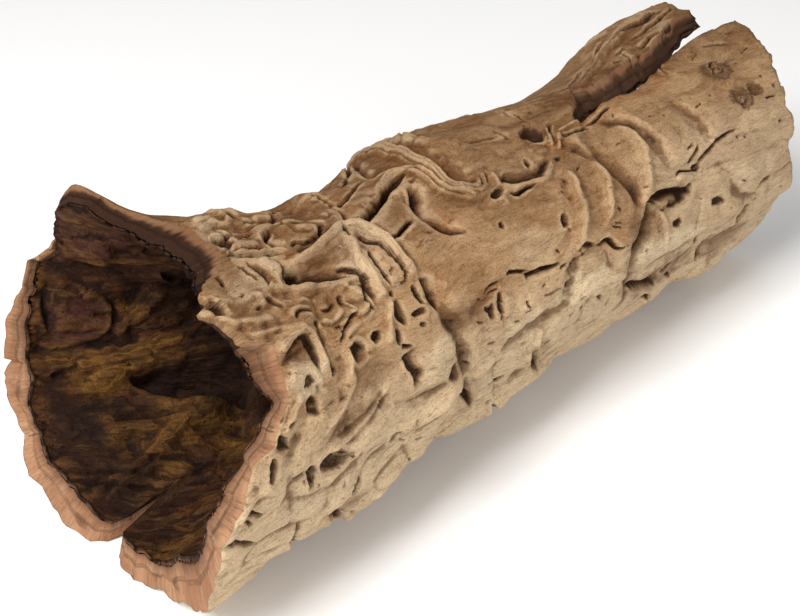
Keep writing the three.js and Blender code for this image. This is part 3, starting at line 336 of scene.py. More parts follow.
    ([(299, 4), (303, 1.4), (306, 0)], 0.3, 1.2, 0.9, 0.1, 0.2, 0.2),
]

# Ropes and crests: path, half width, height and, where there is more than one strand, their
# number and the depth of the creases between them
ROPES = [
    ([(43, 26), (50, 27.5), (57, 27), (64, 25), (70, 22.5), (75, 22), (80, 24.5), (83.5, 29), (85.5, 35),
      (86.5, 42), (88, 49), (90, 54)], 3, 3.2),
    ([(72, 24), (74, 29), (73, 36), (73, 43), (72.5, 50), (74, 55)], 2.6, 2),
    ([(79, 26), (82.4, 31), (84.6, 36), (85.6, 43), (86, 50)], 2.4, 0.8, 3, 1.1),
    ([(28, 31), (34, 34), (42, 36.5), (50, 38.3), (58, 40.7), (64, 43.5)], 1.7, 1.8),
    ([(2, 34), (5, 37.5), (9, 39.8), (15, 41.5), (22, 42.8), (28, 44.5)], 1.4, 1.9),
    ([(-2, 35), (4, 36)], 2, 1.4),
    ([(31, 46), (34, 44), (38, 43.6), (43, 46)], 1, 1.2),
    ([(45, 50), (48, 53), (52, 52), (56, 50)], 1, 1.2),
    ([(57, 48), (59, 53), (63, 54), (66, 51)], 1.2, 1.5),
    ([(50, 60), (56, 58), (62, 57), (68, 55)], 1, 1.2),
    ([(60, 43), (64, 46), (66, 51)], 1, 1),
    ([(32, 38), (36, 41), (42, 42), (48, 44)], 1, 1),
    ([(10, 44), (16, 46), (24, 47.5), (30, 48)], 0.8, 1),
    ([(8, 50), (14, 50), (20, 52)], 0.8, 0.8),
    ([(12, 33), (18, 35), (24, 34), (29, 36)], 0.9, 0.8),
    ([(19, 54), (25, 51.6), (31, 50.6), (35.6, 51), (38, 54), (37.8, 60), (37.2, 67)], 1.6, 2.4),
    ([(20, 50.6), (27, 49), (33, 48.4), (38, 50)], 1.1, 1, 2, 0.4),
    ([(19.5, 65), (23, 61.4), (29, 61.5), (33, 66), (33, 72)], 1.6, 1.3),
    ([(19, 70), (22, 69), (26, 69.6), (32, 70)], 1.4, 1),
    ([(47.5, 62), (47.3, 68), (45, 72.5), (42, 76)], 1.7, 1.7),
    ([(66.5, 69), (69, 63.5), (72, 58.5), (75, 54)], 1.5, 1.8),
    ([(29, 84), (36, 81.5), (42, 78.5), (47, 74), (48.5, 69)], 1.5, 1.6),
    ([(29, 92), (36, 91.8), (43, 91.2), (50, 89), (57, 86), (62, 83), (67, 80)], 1.6, 1.9),
    ([(27, 103), (34, 102.3), (41, 101.2), (48, 99.5)], 1.5, 1.4),
    ([(2, 102), (6, 98.5), (10, 96)], 1.3, 1.2),
    ([(-16, 97), (-10, 93), (-2, 91.6), (6, 92)], 1.5, 1.4),
    ([(12, 78), (18, 72.5), (24, 69.5)], 1.5, 1.2),
    ([(100, 12.5), (107, 8.6), (113, 7), (118, 7.6), (120.6, 11.5), (121.4, 17), (123.4, 24), (127, 29.5),
      (132, 32.5), (137, 33.6)], 2.2, 2, 2, 1.5),
    ([(123, -46), (123.5, -25), (124, -10), (124.2, 0), (125.2, 10), (126, 18), (128, 24), (131.5, 28.5),
      (136, 30.5), (140, 29.5), (144, 26.5)], 3.8, 3, 4, 2),
    ([(134, -38), (135, -22), (136, -8), (139, 2)], 3.4, 1.6, 2, 0.5),
    ([(147, 33), (148.5, 29), (147.5, 25)], 1.2, 1),
    ([(150, 35.6), (157, 36.6), (164, 37.2), (170, 37.4), (176, 34.8), (180, 31)], 1.4, 1.3),
    ([(186, 29), (190, 24), (194, 19)], 1, 1.3, 2, 0.4),
    ([(184, 26), (188, 20), (192, 14.5)], 1, 1.3, 2, 0.4),
    ([(193, 19.5), (199, 18.3), (206, 17.5), (210, 17.8)], 1, 1.2),
    ([(211, 20.4), (217, 19), (224, 17.2), (230, 15.6)], 0.9, 0.9),
    ([(193.5, 24), (197.5, 30), (199.6, 37), (199.2, 44), (196.5, 52), (193, 60), (188, 68)], 3, 2),
    ([(222, 24), (225, 33), (225, 44), (221, 54), (217, 61), (213, 68), (209, 76)], 3.6, 2.4),
    ([(232, 16), (233.4, 28), (234, 40)], 2.6, 0.8),
    ([(180, 36), (181.4, 45), (179, 55), (175, 64), (171, 70)], 3.4, 2),
    ([(237, 63), (241, 62), (246, 63.7), (250, 65)], 2.2, 1.7),
    ([(222, 70), (224.5, 77), (226.5, 84), (226, 92)], 1.6, 1),
    ([(147.5, 95), (145.5, 99.5), (143.6, 103)], 1.8, 1.4),
    ([(232, -10), (250, -18), (268, -25), (290, -30), (320, -33)], 3, 2.4, 3, 0.8),
    ([(286, -14), (300, -16), (322, -18)], 2.2, 1.2, 2, 0.6),
    ([(60, 97), (80, 101), (96, 96), (112, 99), (130, 96)], 4, 2),
    ([(150, 96), (168, 90), (186, 88), (204, 92)], 4.5, 2),
    ([(240, 92), (262, 90), (285, 87)], 4, 1.8),
    ([(50, 122), (76, 118), (98, 126)], 5, 3),
    ([(120, 122), (146, 120), (170, 128)], 5, 3),
    ([(35, -9), (40, -8), (41.5, -3), (38, 0.5), (34, -1.5), (34, -6)], 1.2, 1.4),
]

# Pits with their floor rising towards one side: x, angle, half size along and across that side,
# its turn from +x towards the underside in degrees, depth, and how far the floor rises, 0 to 1
PITS = [
    (31, 8.5, 4.4, 3.6, 0, 4.6, 0), (37, 27.5, 3.4, 6.2, 0, -2.4, 0),
    (44, 32.6, 4.4, 2.4, 10, 4.2, 0.2), (48.5, 1.5, 2.6, 1.8, 0, 2.4, 0.3),
    (6.3, 34.6, 3.6, 3.2, 180, 3.6, 0.4), (74.6, 24.8, 0.9, 2.4, 0, 2, 0.3),
    (76.9, 42.5, 1.5, 6.8, 0, 4.5, 0.5), (76, 53, 1.1, 1.1, 0, 2.2, 0.2), (28, 66, 2.8, 2, 0, 1.5, 0.2),
    (27.5, 74.3, 2.6, 3.3, 0, 2, 0.2), (11, 80.5, 3, 2.6, 45, 3.4, 0.7),
    (16, 76.2, 1.8, 2.2, 90, 1.8, 0.8), (5, 86.6, 2.3, 4.2, 10, 3.4, 0.5),
    (23.3, 97, 2.9, 4.2, 0, 3.4, 0.6), (36.5, 97.8, 9.5, 4, 6, 3.6, 0.8),
    (53.5, 66, 3.9, 3.6, 40, 4.2, 0.8), (63.2, 64, 2.6, 2.1, 0, 3.6, 0.3),
    (71.8, 66.8, 1.6, 3.2, 0, 3, 0.5), (76.3, 59.5, 2.4, 4.6, 0, 3.6, 0.7),
    (84.2, 62.2, 3.8, 1.3, 0, 1.8, 0.1), (83.8, 66.8, 1.8, 1.2, 20, 1.7, 0.5),
    (97.5, 92, 3.9, 3.8, 30, 3.8, 0.6), (64.8, 103.6, 2.6, 3, 60, 2.8, 0.8),
    (73.3, 102.4, 2.6, 3.6, 25, 3.6, 0.7), (44.9, 112.6, 2.4, 3.2, 20, 4, 0.6),
    (59, 86.5, 1.2, 1.5, 0, 1, 0.5), (28, 116, 2.6, 2.2, 60, 2.8, 0.6),
    (25.5, 101.7, 0.6, 0.6, 0, 0.9, 0), (144.4, 35, 4.4, 1.9, -15, 3, 0.5),
    (167.2, 28.3, 1.4, 2.4, 20, 3.2, 0.4), (183, 32, 2.2, 0.9, 10, 1.5, 0.3),
    (182.5, 17.8, 4.4, 3.2, -40, 5, 0), (188.2, 1.2, 1.1, 2.6, 0, 1.8, 0.3),
    (138.2, 46.8, 1.3, 1.5, 0, 2, 0.2), (121.8, 77, 2, 2.8, 15, 3.2, 0.5),
    (119.4, 75.2, 1.4, 1, 20, 1.8, 0.4), (126.7, 76.3, 1.9, 6.2, 5, 4.4, 0.2),
    (168.7, 56, 2.8, 3.4, 0, 3.6, 0.9), (164, 82, 2.6, 1.7, 20, 3, 0.6),
    (173.8, 98, 1.9, 1.5, 40, 2, 0.4), (183.3, 96.8, 2.2, 1, 35, 1.6, 0.4),
    (125, 109.6, 3.2, 1.7, 0, 1.8, 0.4), (234.5, 106.5, 4, 3.6, 30, 3.2, 0.5),
    (253.5, 61, 3, 2.4, 20, 2.2, 0.5), (233.3, 80.3, 4, 2.4, 10, 3, 0.4),
    (262.5, 80.8, 5, 1.9, 20, 3.2, 0.6), (252.5, 99, 1.3, 3, 0, 1.5, 0.3),
    (264.5, 102.8, 3.6, 1.3, 8, 1.2, 0.3), (285, 98.5, 5.5, 6, 45, 4.4, 0.7),
    (278, -8, 6.5, 3.8, -35, 5, 0.1), (267, -16, 2.2, 1.8, 0, 1.6, 0.2),
    (322.3, 32, 1.4, 0.8, -60, 1.4, 0.3), (324.5, 40, 1.8, 0.8, -30, 1.4, 0.3),
    (318, 59.2, 1.8, 0.7, 10, 1.2, 0.3), (309.5, 14.6, 3, 1.6, 0, -1, 0),
    (300.4, 39.6, 5.4, 5, 0, 1.2, 0), (300.4, 40.6, 2.6, 2.2, 0, -0.9, 0),
    (312.6, 38, 4.4, 3.2, 10, 1.3, 0.2), (89, 44, 0.9, 2, 10, 0.9, 0.5),
]

# Patches of the skin that are closely wrinkled, that hang in short folds, and that are smooth:
# x, angle, half size along x, half size around, strength
WRINKLED = [
    (40, 44, 34, 14, 0.7), (50, 5, 34, 20, 1), (95, 64, 14, 8, 0.3), (160, 18, 22, 14, 0.6),
    (110, -30, 60, 14, 0.4), (215, -6, 22, 14, 0.7), (125, 72, 8, 8, 0.7), (184, 22, 10, 10, 0.6),
]
DRAPED = [(16, 106, 62, 32, 1), (96, 102, 40, 24, 0.9), (170, 96, 40, 16, 0.5), (250, 100, 40, 16, 0.5)]
SMOOTH = [
    (124, 46, 34, 18, 1), (152, 66, 18, 20, 0.9), (160, 36, 22, 12, 0.8), (212, 46, 24, 22, 0.7),
    (295, 30, 50, 26, 0.7), (240, -24, 60, 16, 0.7), (300, -24, 50, 18, 0.8), (88, 44, 10, 14, 0.7),
]

# Stained knots on the smooth far part: x, angle, half size along x, half size around
KNOTS = [(302, 18.8, 9.5, 7.6), (300.5, 39.6, 7, 6.6), (312.5, 38, 5.4, 4.6)]

# Knots and folds that the grain flows round: x, angle, reach, how far it is pushed aside
GRAIN_SWINGS = [
    (302, 18, 12, 14), (300, 39, 7, 9), (120, 74, 9, 9), (136, 8, 11, -12), (28, 70, 9, 8),
    (60, 66, 10, 7), (115, 30, 11, 9), (80, 40, 12, -14), (37, -4, 6, 8), (218, 64, 14, -10),
    (97, 92, 8, 7), (168, 56, 9, 6),
]

# Relief of the hollow's wall, positive into the hollow: path, half width, height
INNER_RIDGES = [
    ([(-4, 303), (10, 301), (20, 298), (32, 300), (50, 301), (80, 300)], 5, 4),
    ([(-6, 248), (6, 245), (18, 246), (30, 244), (45, 243), (70, 240), (110, 238)], 5, 3),
    ([(-8, 258), (6, 254), (18, 252), (30, 252), (44, 250)], 2.6, 2),
    ([(-10, 208), (10, 209), (30, 214), (48, 218)], 4, 2.6),
    ([(0, 226), (14, 222), (24, 218)], 3, 2),
    ([(10, 268), (18, 264), (28, 265), (36, 272), (38, 282), (34, 290)], 3, 2.2),
    ([(-14, 192), (-2, 191.5), (8, 191), (20, 192)], 3, 1.6),
    ([(120, 100), (180, 104), (250, 96)], 9, 3.5),
    ([(90, 200), (170, 206), (260, 198)], 9, 3.5),
    ([(110, 300), (190, 296), (260, 302)], 8, 3),
]

# Hollows of the hollow's wall: x, angle, half size along x, half size around, depth
INNER_PITS = [
    (40, 229, 20, 9, 3.5), (53, 208, 7, 7, 4), (29, 272, 4.5, 4, 3), (-2, 274, 2, 7, 2),
    (33, 280, 5, 2.4, 2), (-8, 163, 9, 9, 2.5), (56, 66, 9, 9, 3), (25, 284, 16, 10, 1.5),
    (150, 60, 18, 14, 3), (220, 250, 20, 16, 3),
]

# Steep-sided recesses of the hollow, as the gouges of the skin
INNER_GOUGES = [
    ([(20, 242), (28, 231), (36, 225), (44, 221), (52, 213), (58, 205)], 0.8, 17, 5, 0.6, 0.2, 0.1),
    ([(27.5, 270), (31, 274), (35.5, 282)], 0.6, 3, 3, 0.5, 0.2, 0.2),
    ([(-2.5, 268), (-2.5, 275), (-2, 282)], 0.4, 1.6, 2, 0.2, 0.2, 0.2),
    ([(50, 309), (36, 303), (22, 299), (14, 298), (6, 293)], 0.8, 10, 3.6, 1, 0.2, 0.2),
    ([(4, 256), (0, 254.5), (-8, 254)], 0.7, 5, 1.8, 0.5, 0.2, 0.2),
    ([(-12, 205), (-2, 207), (10, 206), (20, 208)], 0.6, 4, 1.6, 0.4, 0.2, 0.3),
    ([(4, 228), (14, 226), (24, 222), (34, 218)], 0.6, 5, 1.6, 0.5, 0.2, 0.3),
    ([(2, 288), (10, 285), (18, 280), (22, 272), (19, 264), (12, 260)], 0.7, 5, 1.6, 0.6, 0.2, 0.2),
]

# How steeply the figure of the hollow slants round it, as (angle, degrees a millimetre)
SLANT = [
    (0, 0), (90, 0.4), (150, 1.3), (190, 1.1), (205, 0.8), (220, 0.62), (235, 0.47), (250, 0.36),
    (280, 0.2), (300, 0),
]
SLANT_REACH = 45.0

# Lumps that meet in creases: reach round the log, stretch along it, height, seed
LUMPS = (34, 2.1, 7, 3)
FOLDS = (13, 2.3, 2.8, 29)
DRAPES = (10, 1.7, 3, 59)
WRINKLES = (3.6, 2.2, 2.6, 47)
ROUGHNESS = (5.2, 3, 0.9, 43)
INNER_LUMPS = (20, 3.2, 4, 57)
INNER_FOLDS = (7, 3.4, 2.4, 67)
INNER_THREADS = (3.1, 5, 1.1, 69)

# Share of the height of lumps, folds and roughness on the side that the photograph shows
SHOWN_LUMPS = 0.4
SHOWN_FOLDS = 0.8
SHOWN_ROUGHNESS = 0.45

# Seeded gouges for the sides that the photograph hides: count, seed, first and last angle, size
HIDDEN_GOUGES = [(46, 11, 134, 322, 1), (90, 19, 122, 330, 0.45)]

# Number of seeded ticks and small pits over the carved front
NICKS = 150

# How features wander off their drawn places: reach along x and around, shift along x and around,
# and the seed of each shift
WANDER = [(8, 6, 0.9, 0.8, 101, 103), (2.6, 2.2, 0.32, 0.3, 102, 104)]

# Tints of the skin and of the hollow, some of them partly painted shade: x, angle, half size along,
# half size around, strength
# Brown patches of the skin: partly its own brown wood, and partly painted shade in the valleys and
# hollows of its carving
BROWN_AND_SHADE = [
    (60, -28, 70, 26, 0.9), (35, 12, 22, 13, 0.85), (58, 10, 22, 13, 0.95), (74, 5, 12, 16, 0.85),
    (98, 8, 20, 11, 0.8), (112, -6, 10, 12, 0.9), (54, 36, 12, 4, 0.9), (133, 8, 7, 18, 1),
    (120, -20, 24, 34, 1), (106, 0, 16, 14, 0.9), (24, 40, 22, 14, 0.45), (52, 44, 18, 10, 0.4),
    (160, 15, 16, 16, 0.5), (158, 30, 12, 4, 0.8), (185, 20, 9, 8, 0.8), (235, -4, 34, 13, 1),
    (262, -6, 28, 12, 1), (232, -24, 50, 14, 0.55), (290, -22, 44, 13, 0.8), (300, 19, 14, 10, 0.4),
    (108, 73, 12, 5, 0.7), (122, 76, 8, 6, 0.6), (208, 74, 6, 10, 0.7), (216, 74, 7, 8, 0.7),
    (232, 68, 15, 4, 0.9), (228, 108, 26, 9, 0.9), (276, 110, 16, 10, 0.75), (40, 122, 9, 9, 0.6),
    (45, 86, 14, 4, 0.5), (57, 73, 10, 6, 0.5), (28, 57, 7, 4, 0.6), (63, 50, 10, 8, 0.4),
    (107, 108, 7, 10, 0.5), (148, 108, 6, 10, 0.6), (320, -8, 20, 8, 0.6), (160, -40, 60, 22, 0.6),
    (20, 0, 22, 22, 0.7), (104, 26, 12, 5, 0.5),
]
ORANGE = [
    (188, 24, 8, 7, 1), (200, 19, 12, 3, 0.9), (218, 18, 12, 3, 0.7), (250, 14, 20, 5, 0.5),
    (270, 8, 10, 6, 0.7), (114, 38, 6, 7, 0.8), (46, 24, 5, 4, 0.7), (97, 60, 4, 8, 0.5),
    (79, 40, 4, 8, 0.5), (120, 71, 8, 5, 0.5), (195, 74, 6, 6, 0.6), (285, 3, 8, 6, 0.5),
    (78, 83, 5, 6, 0.4), (100, 94, 4, 4, 0.4), (55, 30, 9, 3, 0.4),
]
PALE = [
    (30, 3, 6, 9, 0.8), (38, 27, 5, 6, 0.7), (22, 31, 9, 6, 0.5), (28, 66, 10, 8, 0.8),
    (76, 34, 12, 16, 0.6), (90, 84, 14, 12, 0.7), (138, 92, 14, 10, 0.9), (172, 88, 20, 10, 0.9),
    (230, 90, 26, 9, 1), (290, 76, 30, 10, 0.7), (312, 100, 18, 12, 0.7), (10, 110, 22, 14, 0.6),
    (58, 106, 16, 6, 0.4), (86, 112, 20, 10, 0.4), (200, 96, 14, 6, 0.8), (250, 106, 8, 12, 0.7),
    (150, 60, 14, 8, 0.3), (36, 94, 30, 4, 0.5),
]
GOLD = [
    (-2, 260, 7, 4, 1), (6, 250, 9, 9, 0.9), (14, 244, 9, 7, 0.9), (30, 252, 16, 4, 0.9),
    (20, 247, 18, 4, 0.8), (26, 271, 4, 3, 0.9), (31, 269.5, 3, 2.5, 1), (28, 222, 14, 7, 0.55),
    (22, 212, 22, 5, 0.6), (10, 222, 12, 5, 0.5), (48, 197, 12, 12, 0.9), (55, 190, 8, 16, 0.8),
    (36, 206, 14, 5, 0.7), (14, 199, 14, 3, 0.4), (-8, 164, 12, 14, 0.5), (8, 158, 14, 9, 0.3),
    (24, 300, 26, 2, 0.4), (-4, 290, 5, 8, 0.4), (8, 320, 14, 4, 0.3), (-6, 226, 3, 3, 0.5),
]
# Dark patches of the hollow: partly its own dark figure, and partly painted shade over its recesses and
# deep inside it
DARK_AND_SHADE = [
    (40, 234, 18, 7, 1), (55, 222, 12, 13, 1), (60, 240, 16, 14, 0.9), (33, 277, 3, 4, 0.9),
    (-2.5, 275, 1.6, 7, 1), (-7, 240, 4, 18, 0.9), (-10, 218, 5, 10, 0.9), (-4, 204, 9, 6, 0.8),
    (6, 214, 12, 4, 0.5), (25, 190, 3.5, 3.5, 1), (60, 280, 30, 20, 0.9), (60, 60, 40, 40, 1),
    (90, 200, 46, 120, 1), (16, 291, 22, 4, 0.8), (30, 20, 40, 30, 1), (20, 232, 10, 4, 0.5),
    (2, 236, 6, 6, 0.6), (-3, 224, 9, 16, 0.85), (4, 206, 12, 9, 0.8), (16, 226, 10, 8, 0.6),
    (10, 188, 14, 7, 0.7), (-4, 252, 3, 8, 0.7), (-6, 180, 10, 8, 0.5),
]
PLUM = [
    (9, 270, 14, 12, 0.8), (22, 284, 16, 8, 0.7), (12, 312, 18, 12, 0.9), (34, 318, 16, 10, 0.7),
    (36, 290, 14, 10, 0.6),
]


def ease(low, high, value):
    """0 at low and 1 at high, eased between them, whichever of the two is the larger."""
    part = np.clip((value - low) / (high - low), 0, 1)
    return part * part * (3 - 2 * part)


def turn_between(angle, other):
    """How far an angle lies past another one, from -180 to 180 degrees."""
    return (angle - other + 180.0) % 360.0 - 180.0


def read_row(table, place, column=1):
    """A value read from a table, eased between its rows."""
    places = np.array([row[0] for row in table], float)
    values = np.array([row[column] for row in table], float)
    row = np.clip(np.searchsorted(places, place, side="left") - 1, 0, len(places) - 2)
    part = ease(places[row], places[row + 1], place)
    return values[row] + (values[row + 1] - values[row]) * part


def read_round(table, angle):
    """A value read from a table that goes round the log."""
    return read_row([*table, (360, table[0][1])], np.mod(angle, 360.0))


def curve_through(before, start, end, after, part):
    """A smooth curve from start to end, steered by the values before and after them."""
    first = end - before
    second = 2 * before - 5 * start + 4 * end - after
    third = -before + 3 * start - 3 * end + after
    return 0.5 * (2 * start + part * (first + part * (second + part * third)))


def bare_radius(x, angle):
    """Radius of the bare log, curved through the sections."""
    places = np.array([row[0] for row in SECTIONS], float)
    radii = np.array([row[1] for row in SECTIONS], float)
    last = len(places) - 1
    sectors = radii.shape[1]
    row = np.clip(np.searchsorted(places, x, side="left") - 1, 0, last - 1)
    part = np.clip((x - places[row]) / (places[row + 1] - places[row]), 0, 1)
    turned = np.mod(angle, 360.0) / (360.0 / sectors)
    sector = np.floor(turned).astype(int) % sectors
    step = turned - np.floor(turned)

    def around(index):
        return curve_through(*[radii[index, (sector + shift) % sectors] for shift in (-1, 0, 1, 2)], step)

    rows = [np.clip(row - 1, 0, last), row, row + 1, np.clip(row + 2, 0, last)]
    return curve_through(*[around(index) for index in rows], part)


def hash_at(i, j, k, seed):
    """A value from -1 to 1 that seems random, but is always the same at a place."""
    value = np.sin(i * 127.1 + j * 311.7 + k * 191.3 + seed * 74.7) * 43758.5453
    return (value - np.floor(value)) * 2 - 1


def seeded_draws(count, item, row, seed):
    """So many values from 0 to 1 for one seeded feature."""
    return [(float(hash_at(item, column, row, seed)) + 1) / 2 for column in range(count)]


def noise(x, y, z, seed):
    """Smooth seeded noise over space, between -1 and 1."""
    i, j, k = np.floor(x), np.floor(y), np.floor(z)
    u, v, w = ease(0, 1, x - i), ease(0, 1, y - j), ease(0, 1, z - k)

    def edge(dj, dk):
        start = hash_at(i, j + dj, k + dk, seed)
        return start + (hash_at(i + 1, j + dj, k + dk, seed) - start) * u

    def face(dk):
        start = edge(0, dk)
        return start + (edge(1, dk) - start) * v

    near = face(0)
    return near + (face(1) - near) * w


def creased_lumps(x, y, z, lumps):
    """Rounded lumps that meet in creases, bent by slower noise and drawn out along the log."""
    reach, stretch, height, seed = lumps

    def bend(shift):
        return 0.55 * noise(x / (2.2 * reach), y / (1.7 * reach), z / (1.7 * reach), seed + shift)

    value = noise(x / (reach * stretch) + bend(1), y / reach + bend(2), z / reach + bend(3), seed + 4)
    return height * (np.abs(value) ** 0.65 - 0.42)


def smooth_path(points, steps=4):
    """The points of a curve through a path's own points."""
    ends = [points[0], *points, points[-1]]
    line = []
    for before, start, end, after in zip(ends, ends[1:], ends[2:], ends[3:]):
        for step in range(steps):
            pair = [curve_through(*values, step / steps) for values in zip(before, start, end, after)]
            line.append(pair)
    line.append(points[-1])
    return np.array(line, float)


def near_path(path, x, angle):
    """Distance from a path, positive on the side of its ramp, and the share of it passed."""
    line = smooth_path(path) if len(path) > 2 else np.array(path, float)
    runs = np.hypot(*(line[1:] - line[:-1]).T)
    passed = np.concatenate([[0], np.cumsum(runs)])
    best = np.full(x.shape, 1e9)
    side = np.zeros(x.shape)
    along = np.zeros(x.shape)
    for index in range(len(runs)):
        (x0, a0), (x1, a1) = line[index], line[index + 1]
        dx, da = x1 - x0, a1 - a0
        px, pa = x - x0, turn_between(angle, a0)
        part = np.clip((px * dx + pa * da) / max(dx * dx + da * da, 1e-9), 0, 1)
        distance = np.hypot(px - dx * part, pa - da * part)
        closer = distance < best
        best = np.where(closer, distance, best)
        side = np.where(closer, np.where(dx * pa - da * px >= 0, 1.0, -1.0), side)
        along = np.where(closer, (passed[index] + part * runs[index]) / passed[-1], along)
    return best * side, along


def bump(distance, width):
    """1 at no distance, falling away within a few widths."""
    return np.exp(-((distance / width) ** 2))


def patches(x, angle, places):
    """Soft patches: the strongest at a place, 0 to 1, with uneven edges."""
    wobble = 1 + 0.35 * noise(x / 5, angle / 4, 0.0, 77) + 0.2 * noise(x / 1.7, angle / 1.5, 0.0, 78)
    value = 0.0 * x
    for place, turn, along, across, strength in places:
        off = np.hypot((x - place) / along, turn_between(angle, turn) / across) * wobble
        value = np.maximum(value, strength * ease(1.25, 0.55, off))
    return value


def flow(x, angle):
    """How far the grain has swung round the log by a place, in degrees."""
    swing = 0.0 * x
    for place, turn, reach, shift in GRAIN_SWINGS:
        near = bump(np.hypot(x - place, turn_between(angle, turn)), reach)
        swing = swing + shift * near * turn_between(angle, turn) / reach
    return swing


def hollow_slant(x, angle):
    """How far the figure of the hollow has slanted round it by a place, in degrees."""
    return read_round(SLANT, angle) * SLANT_REACH * (1 - np.exp(-np.maximum(x, -20) / SLANT_REACH))


def round_log(angle, radius):
    """The sideways and upward place of points at an angle and radius."""
    turned = np.radians(angle)
    return -radius * np.sin(turned), radius * np.cos(turned)


def on_log(x, angle, radius):
    return np.stack([x, *round_log(angle, radius)], -1)


class Relief:
    """Heights over one sheet of the log, gathered feature by feature."""

    def __init__(self, x, angle):
        self.x, self.angle = x.ravel(), angle.ravel()
        drawn_x, drawn_angle = self.x, turn_between(self.angle, 0)
        for along, around, shift_x, shift_angle, seed_x, seed_angle in WANDER:
            place = (drawn_x / along, drawn_angle / around, 0.0)
            self.x = self.x + shift_x * noise(*place, seed_x)
            self.angle = self.angle + shift_angle * noise(*place, seed_angle)
        self.height = np.zeros(self.x.shape)
        self.carved = np.zeros(self.x.shape)

    def near(self, points, reach):
        """Where the sheet lies within reach of a feature's points."""
        places = np.array(points, float)
        (x0, a0), (x1, a1) = places.min(0) - reach, places.max(0) + reach
        rows = np.abs(self.x - (x0 + x1) / 2) < (x1 - x0) / 2
        turns = np.abs(turn_between(self.angle, (a0 + a1) / 2)) < (a1 - a0) / 2
        return np.nonzero(rows & turns)[0]

    def off(self, where, x, angle):
        """How far the sheet's points lie from a place, along the log and round it."""
        return self.x[where] - x, turn_between(self.angle[where], angle)

    def add(self, where, height):
        self.height[where] += height
        self.carved[where] = np.minimum(self.carved[where], height)

    def gouge(self, path, wall, ramp, depth, lip=0.3, start=0.2, end=0.2):
        where = self.near(path, ramp + 3 * wall)
        if len(where) == 0:
            return
        distance, along = near_path(path, self.x[where], self.angle[where])
        share = ease(0, start, along) * ease(0, end, 1 - along)
        reach = ramp * (0.35 + 0.65 * share)
        floor = 1 - ease(0, 1, distance / reach)
        face = 1 - ease(0, 1, -distance / wall)
        shape = np.where(distance >= 0, floor, face)
        self.add(where, CARVING * share * (lip * bump(distance + 2.2 * wall, wall) - depth * shape))

    def rope(self, path, width, rise, strands=1, crease=0):
        width = 1.6 * width if strands == 1 else width
        where = self.near(path, width)
        if len(where) == 0:
            return
        distance, along = near_path(path, self.x[where], self.angle[where])
        share = ease(0, 0.16, along) * ease(0, 0.16, 1 - along)
        across = np.clip(distance / width, -1, 1)
        crest = (1.02 - np.sqrt(across**2 + 0.03)) / 0.85
        body = np.clip(crest, 0, 1) ** 1.5 if strands == 1 else (1 - across**2) ** 0.8
        strand = (across + 1) / 2 * strands
        twist = 2 * (strand - np.floor(strand)) - 1
        lines = crease * (1 - np.sqrt(np.maximum(0, 1 - twist**2))) * ease(1, 0.8, np.abs(across))
        self.add(where, CARVING * share * (rise * body - lines))

    def pit(self, x, angle, along, across, turn, depth, slope):
        where = self.near([(x, angle)], 1.2 * (along + across))
        if len(where) == 0:
            return
        dx, da = self.off(where, x, angle)
        c, s = math.cos(math.radians(turn)), math.sin(math.radians(turn))
        u, v = (dx * c + da * s) / along, (da * c - dx * s) / across
        wobble = 1 + 0.07 * np.sin(3 * np.arctan2(v, u) + x) + 0.05 * np.sin(5 * np.arctan2(v, u) + angle)
        off = np.hypot(u, v) * wobble
        floor = 1 - slope * ease(-0.7, 1.05, u)
        edge = 1 - ease(0.66, 1.1, off)
        lip = 0.12 * depth * bump(off - 1.25, 0.16) * ease(0.6, -0.6, u)
        self.add(where, CARVING * (lip - depth * floor * edge))

    def swell(self, x, angle, along, across, rise):
        where = self.near([(x, angle)], 2.6 * max(along, across))
        dx, da = self.off(where, x, angle)
        self.height[where] += rise * bump(np.hypot(dx / along, da / across), 1)

    def ridge(self, path, width, rise):
        where = self.near(path, 3 * width)
        distance, along = near_path(path, self.x[where], self.angle[where])
        share = 0.3 + 0.7 * ease(0, 0.22, along) * ease(0, 0.22, 1 - along)
        self.height[where] += share * rise * bump(distance, width)


def hidden_gouges(count, seed, first, last, size):
    """Seeded gouges between two angles, drawn out along the log."""
    gouges = []
    for item in range(count):
        draw = seeded_draws(8, item, 0, seed)
        x = -4 + (LENGTH - 26) * draw[1]
        angle = first + (last - first) * draw[2]
        run, turn = size * (7 + 15 * draw[3]), size * (18 * draw[4] - 9)
        path = [(x - run, angle - turn), (x, angle + 8 * draw[5] - 4), (x + run, angle + turn)]
        width = size * (2.2 + 1.8 * draw[6])
        depth = size * (2.5 + 2.5 * draw[7])
        gouges.append((path if item % 3 else path[::-1], 0.5 * width, 2 * width, depth, 0.6, 0.3, 0.15))
    return gouges


def fine_nicks():
    """Seeded ticks and small pits over the carved front."""
    nicks = []
    for item in range(NICKS):
        draw = seeded_draws(7, item, 5, 31)
        x, angle = 12 + 325 * draw[0], -30 + 150 * draw[1]
        run, turn = 0.8 + 3 * draw[2] ** 2, 2.4 * (draw[3] - 0.5)
        path = [(x - run, angle - turn), (x + run, angle + turn)]
        nicks.append((path, 0.3, 0.6 + 1.1 * draw[4], 0.5 + 0.9 * draw[5], 0.1, 0.3, 0.4))
    return nicks


def lump_share(angle, shown):
    """Share of a height: as shown on the photographed side, and all of it on the hidden one."""
    turned = np.mod(angle, 360.0)
    hidden = ease(120, 145, turned) * (1 - ease(310, 335, turned))
    return shown + (1 - shown) * hidden


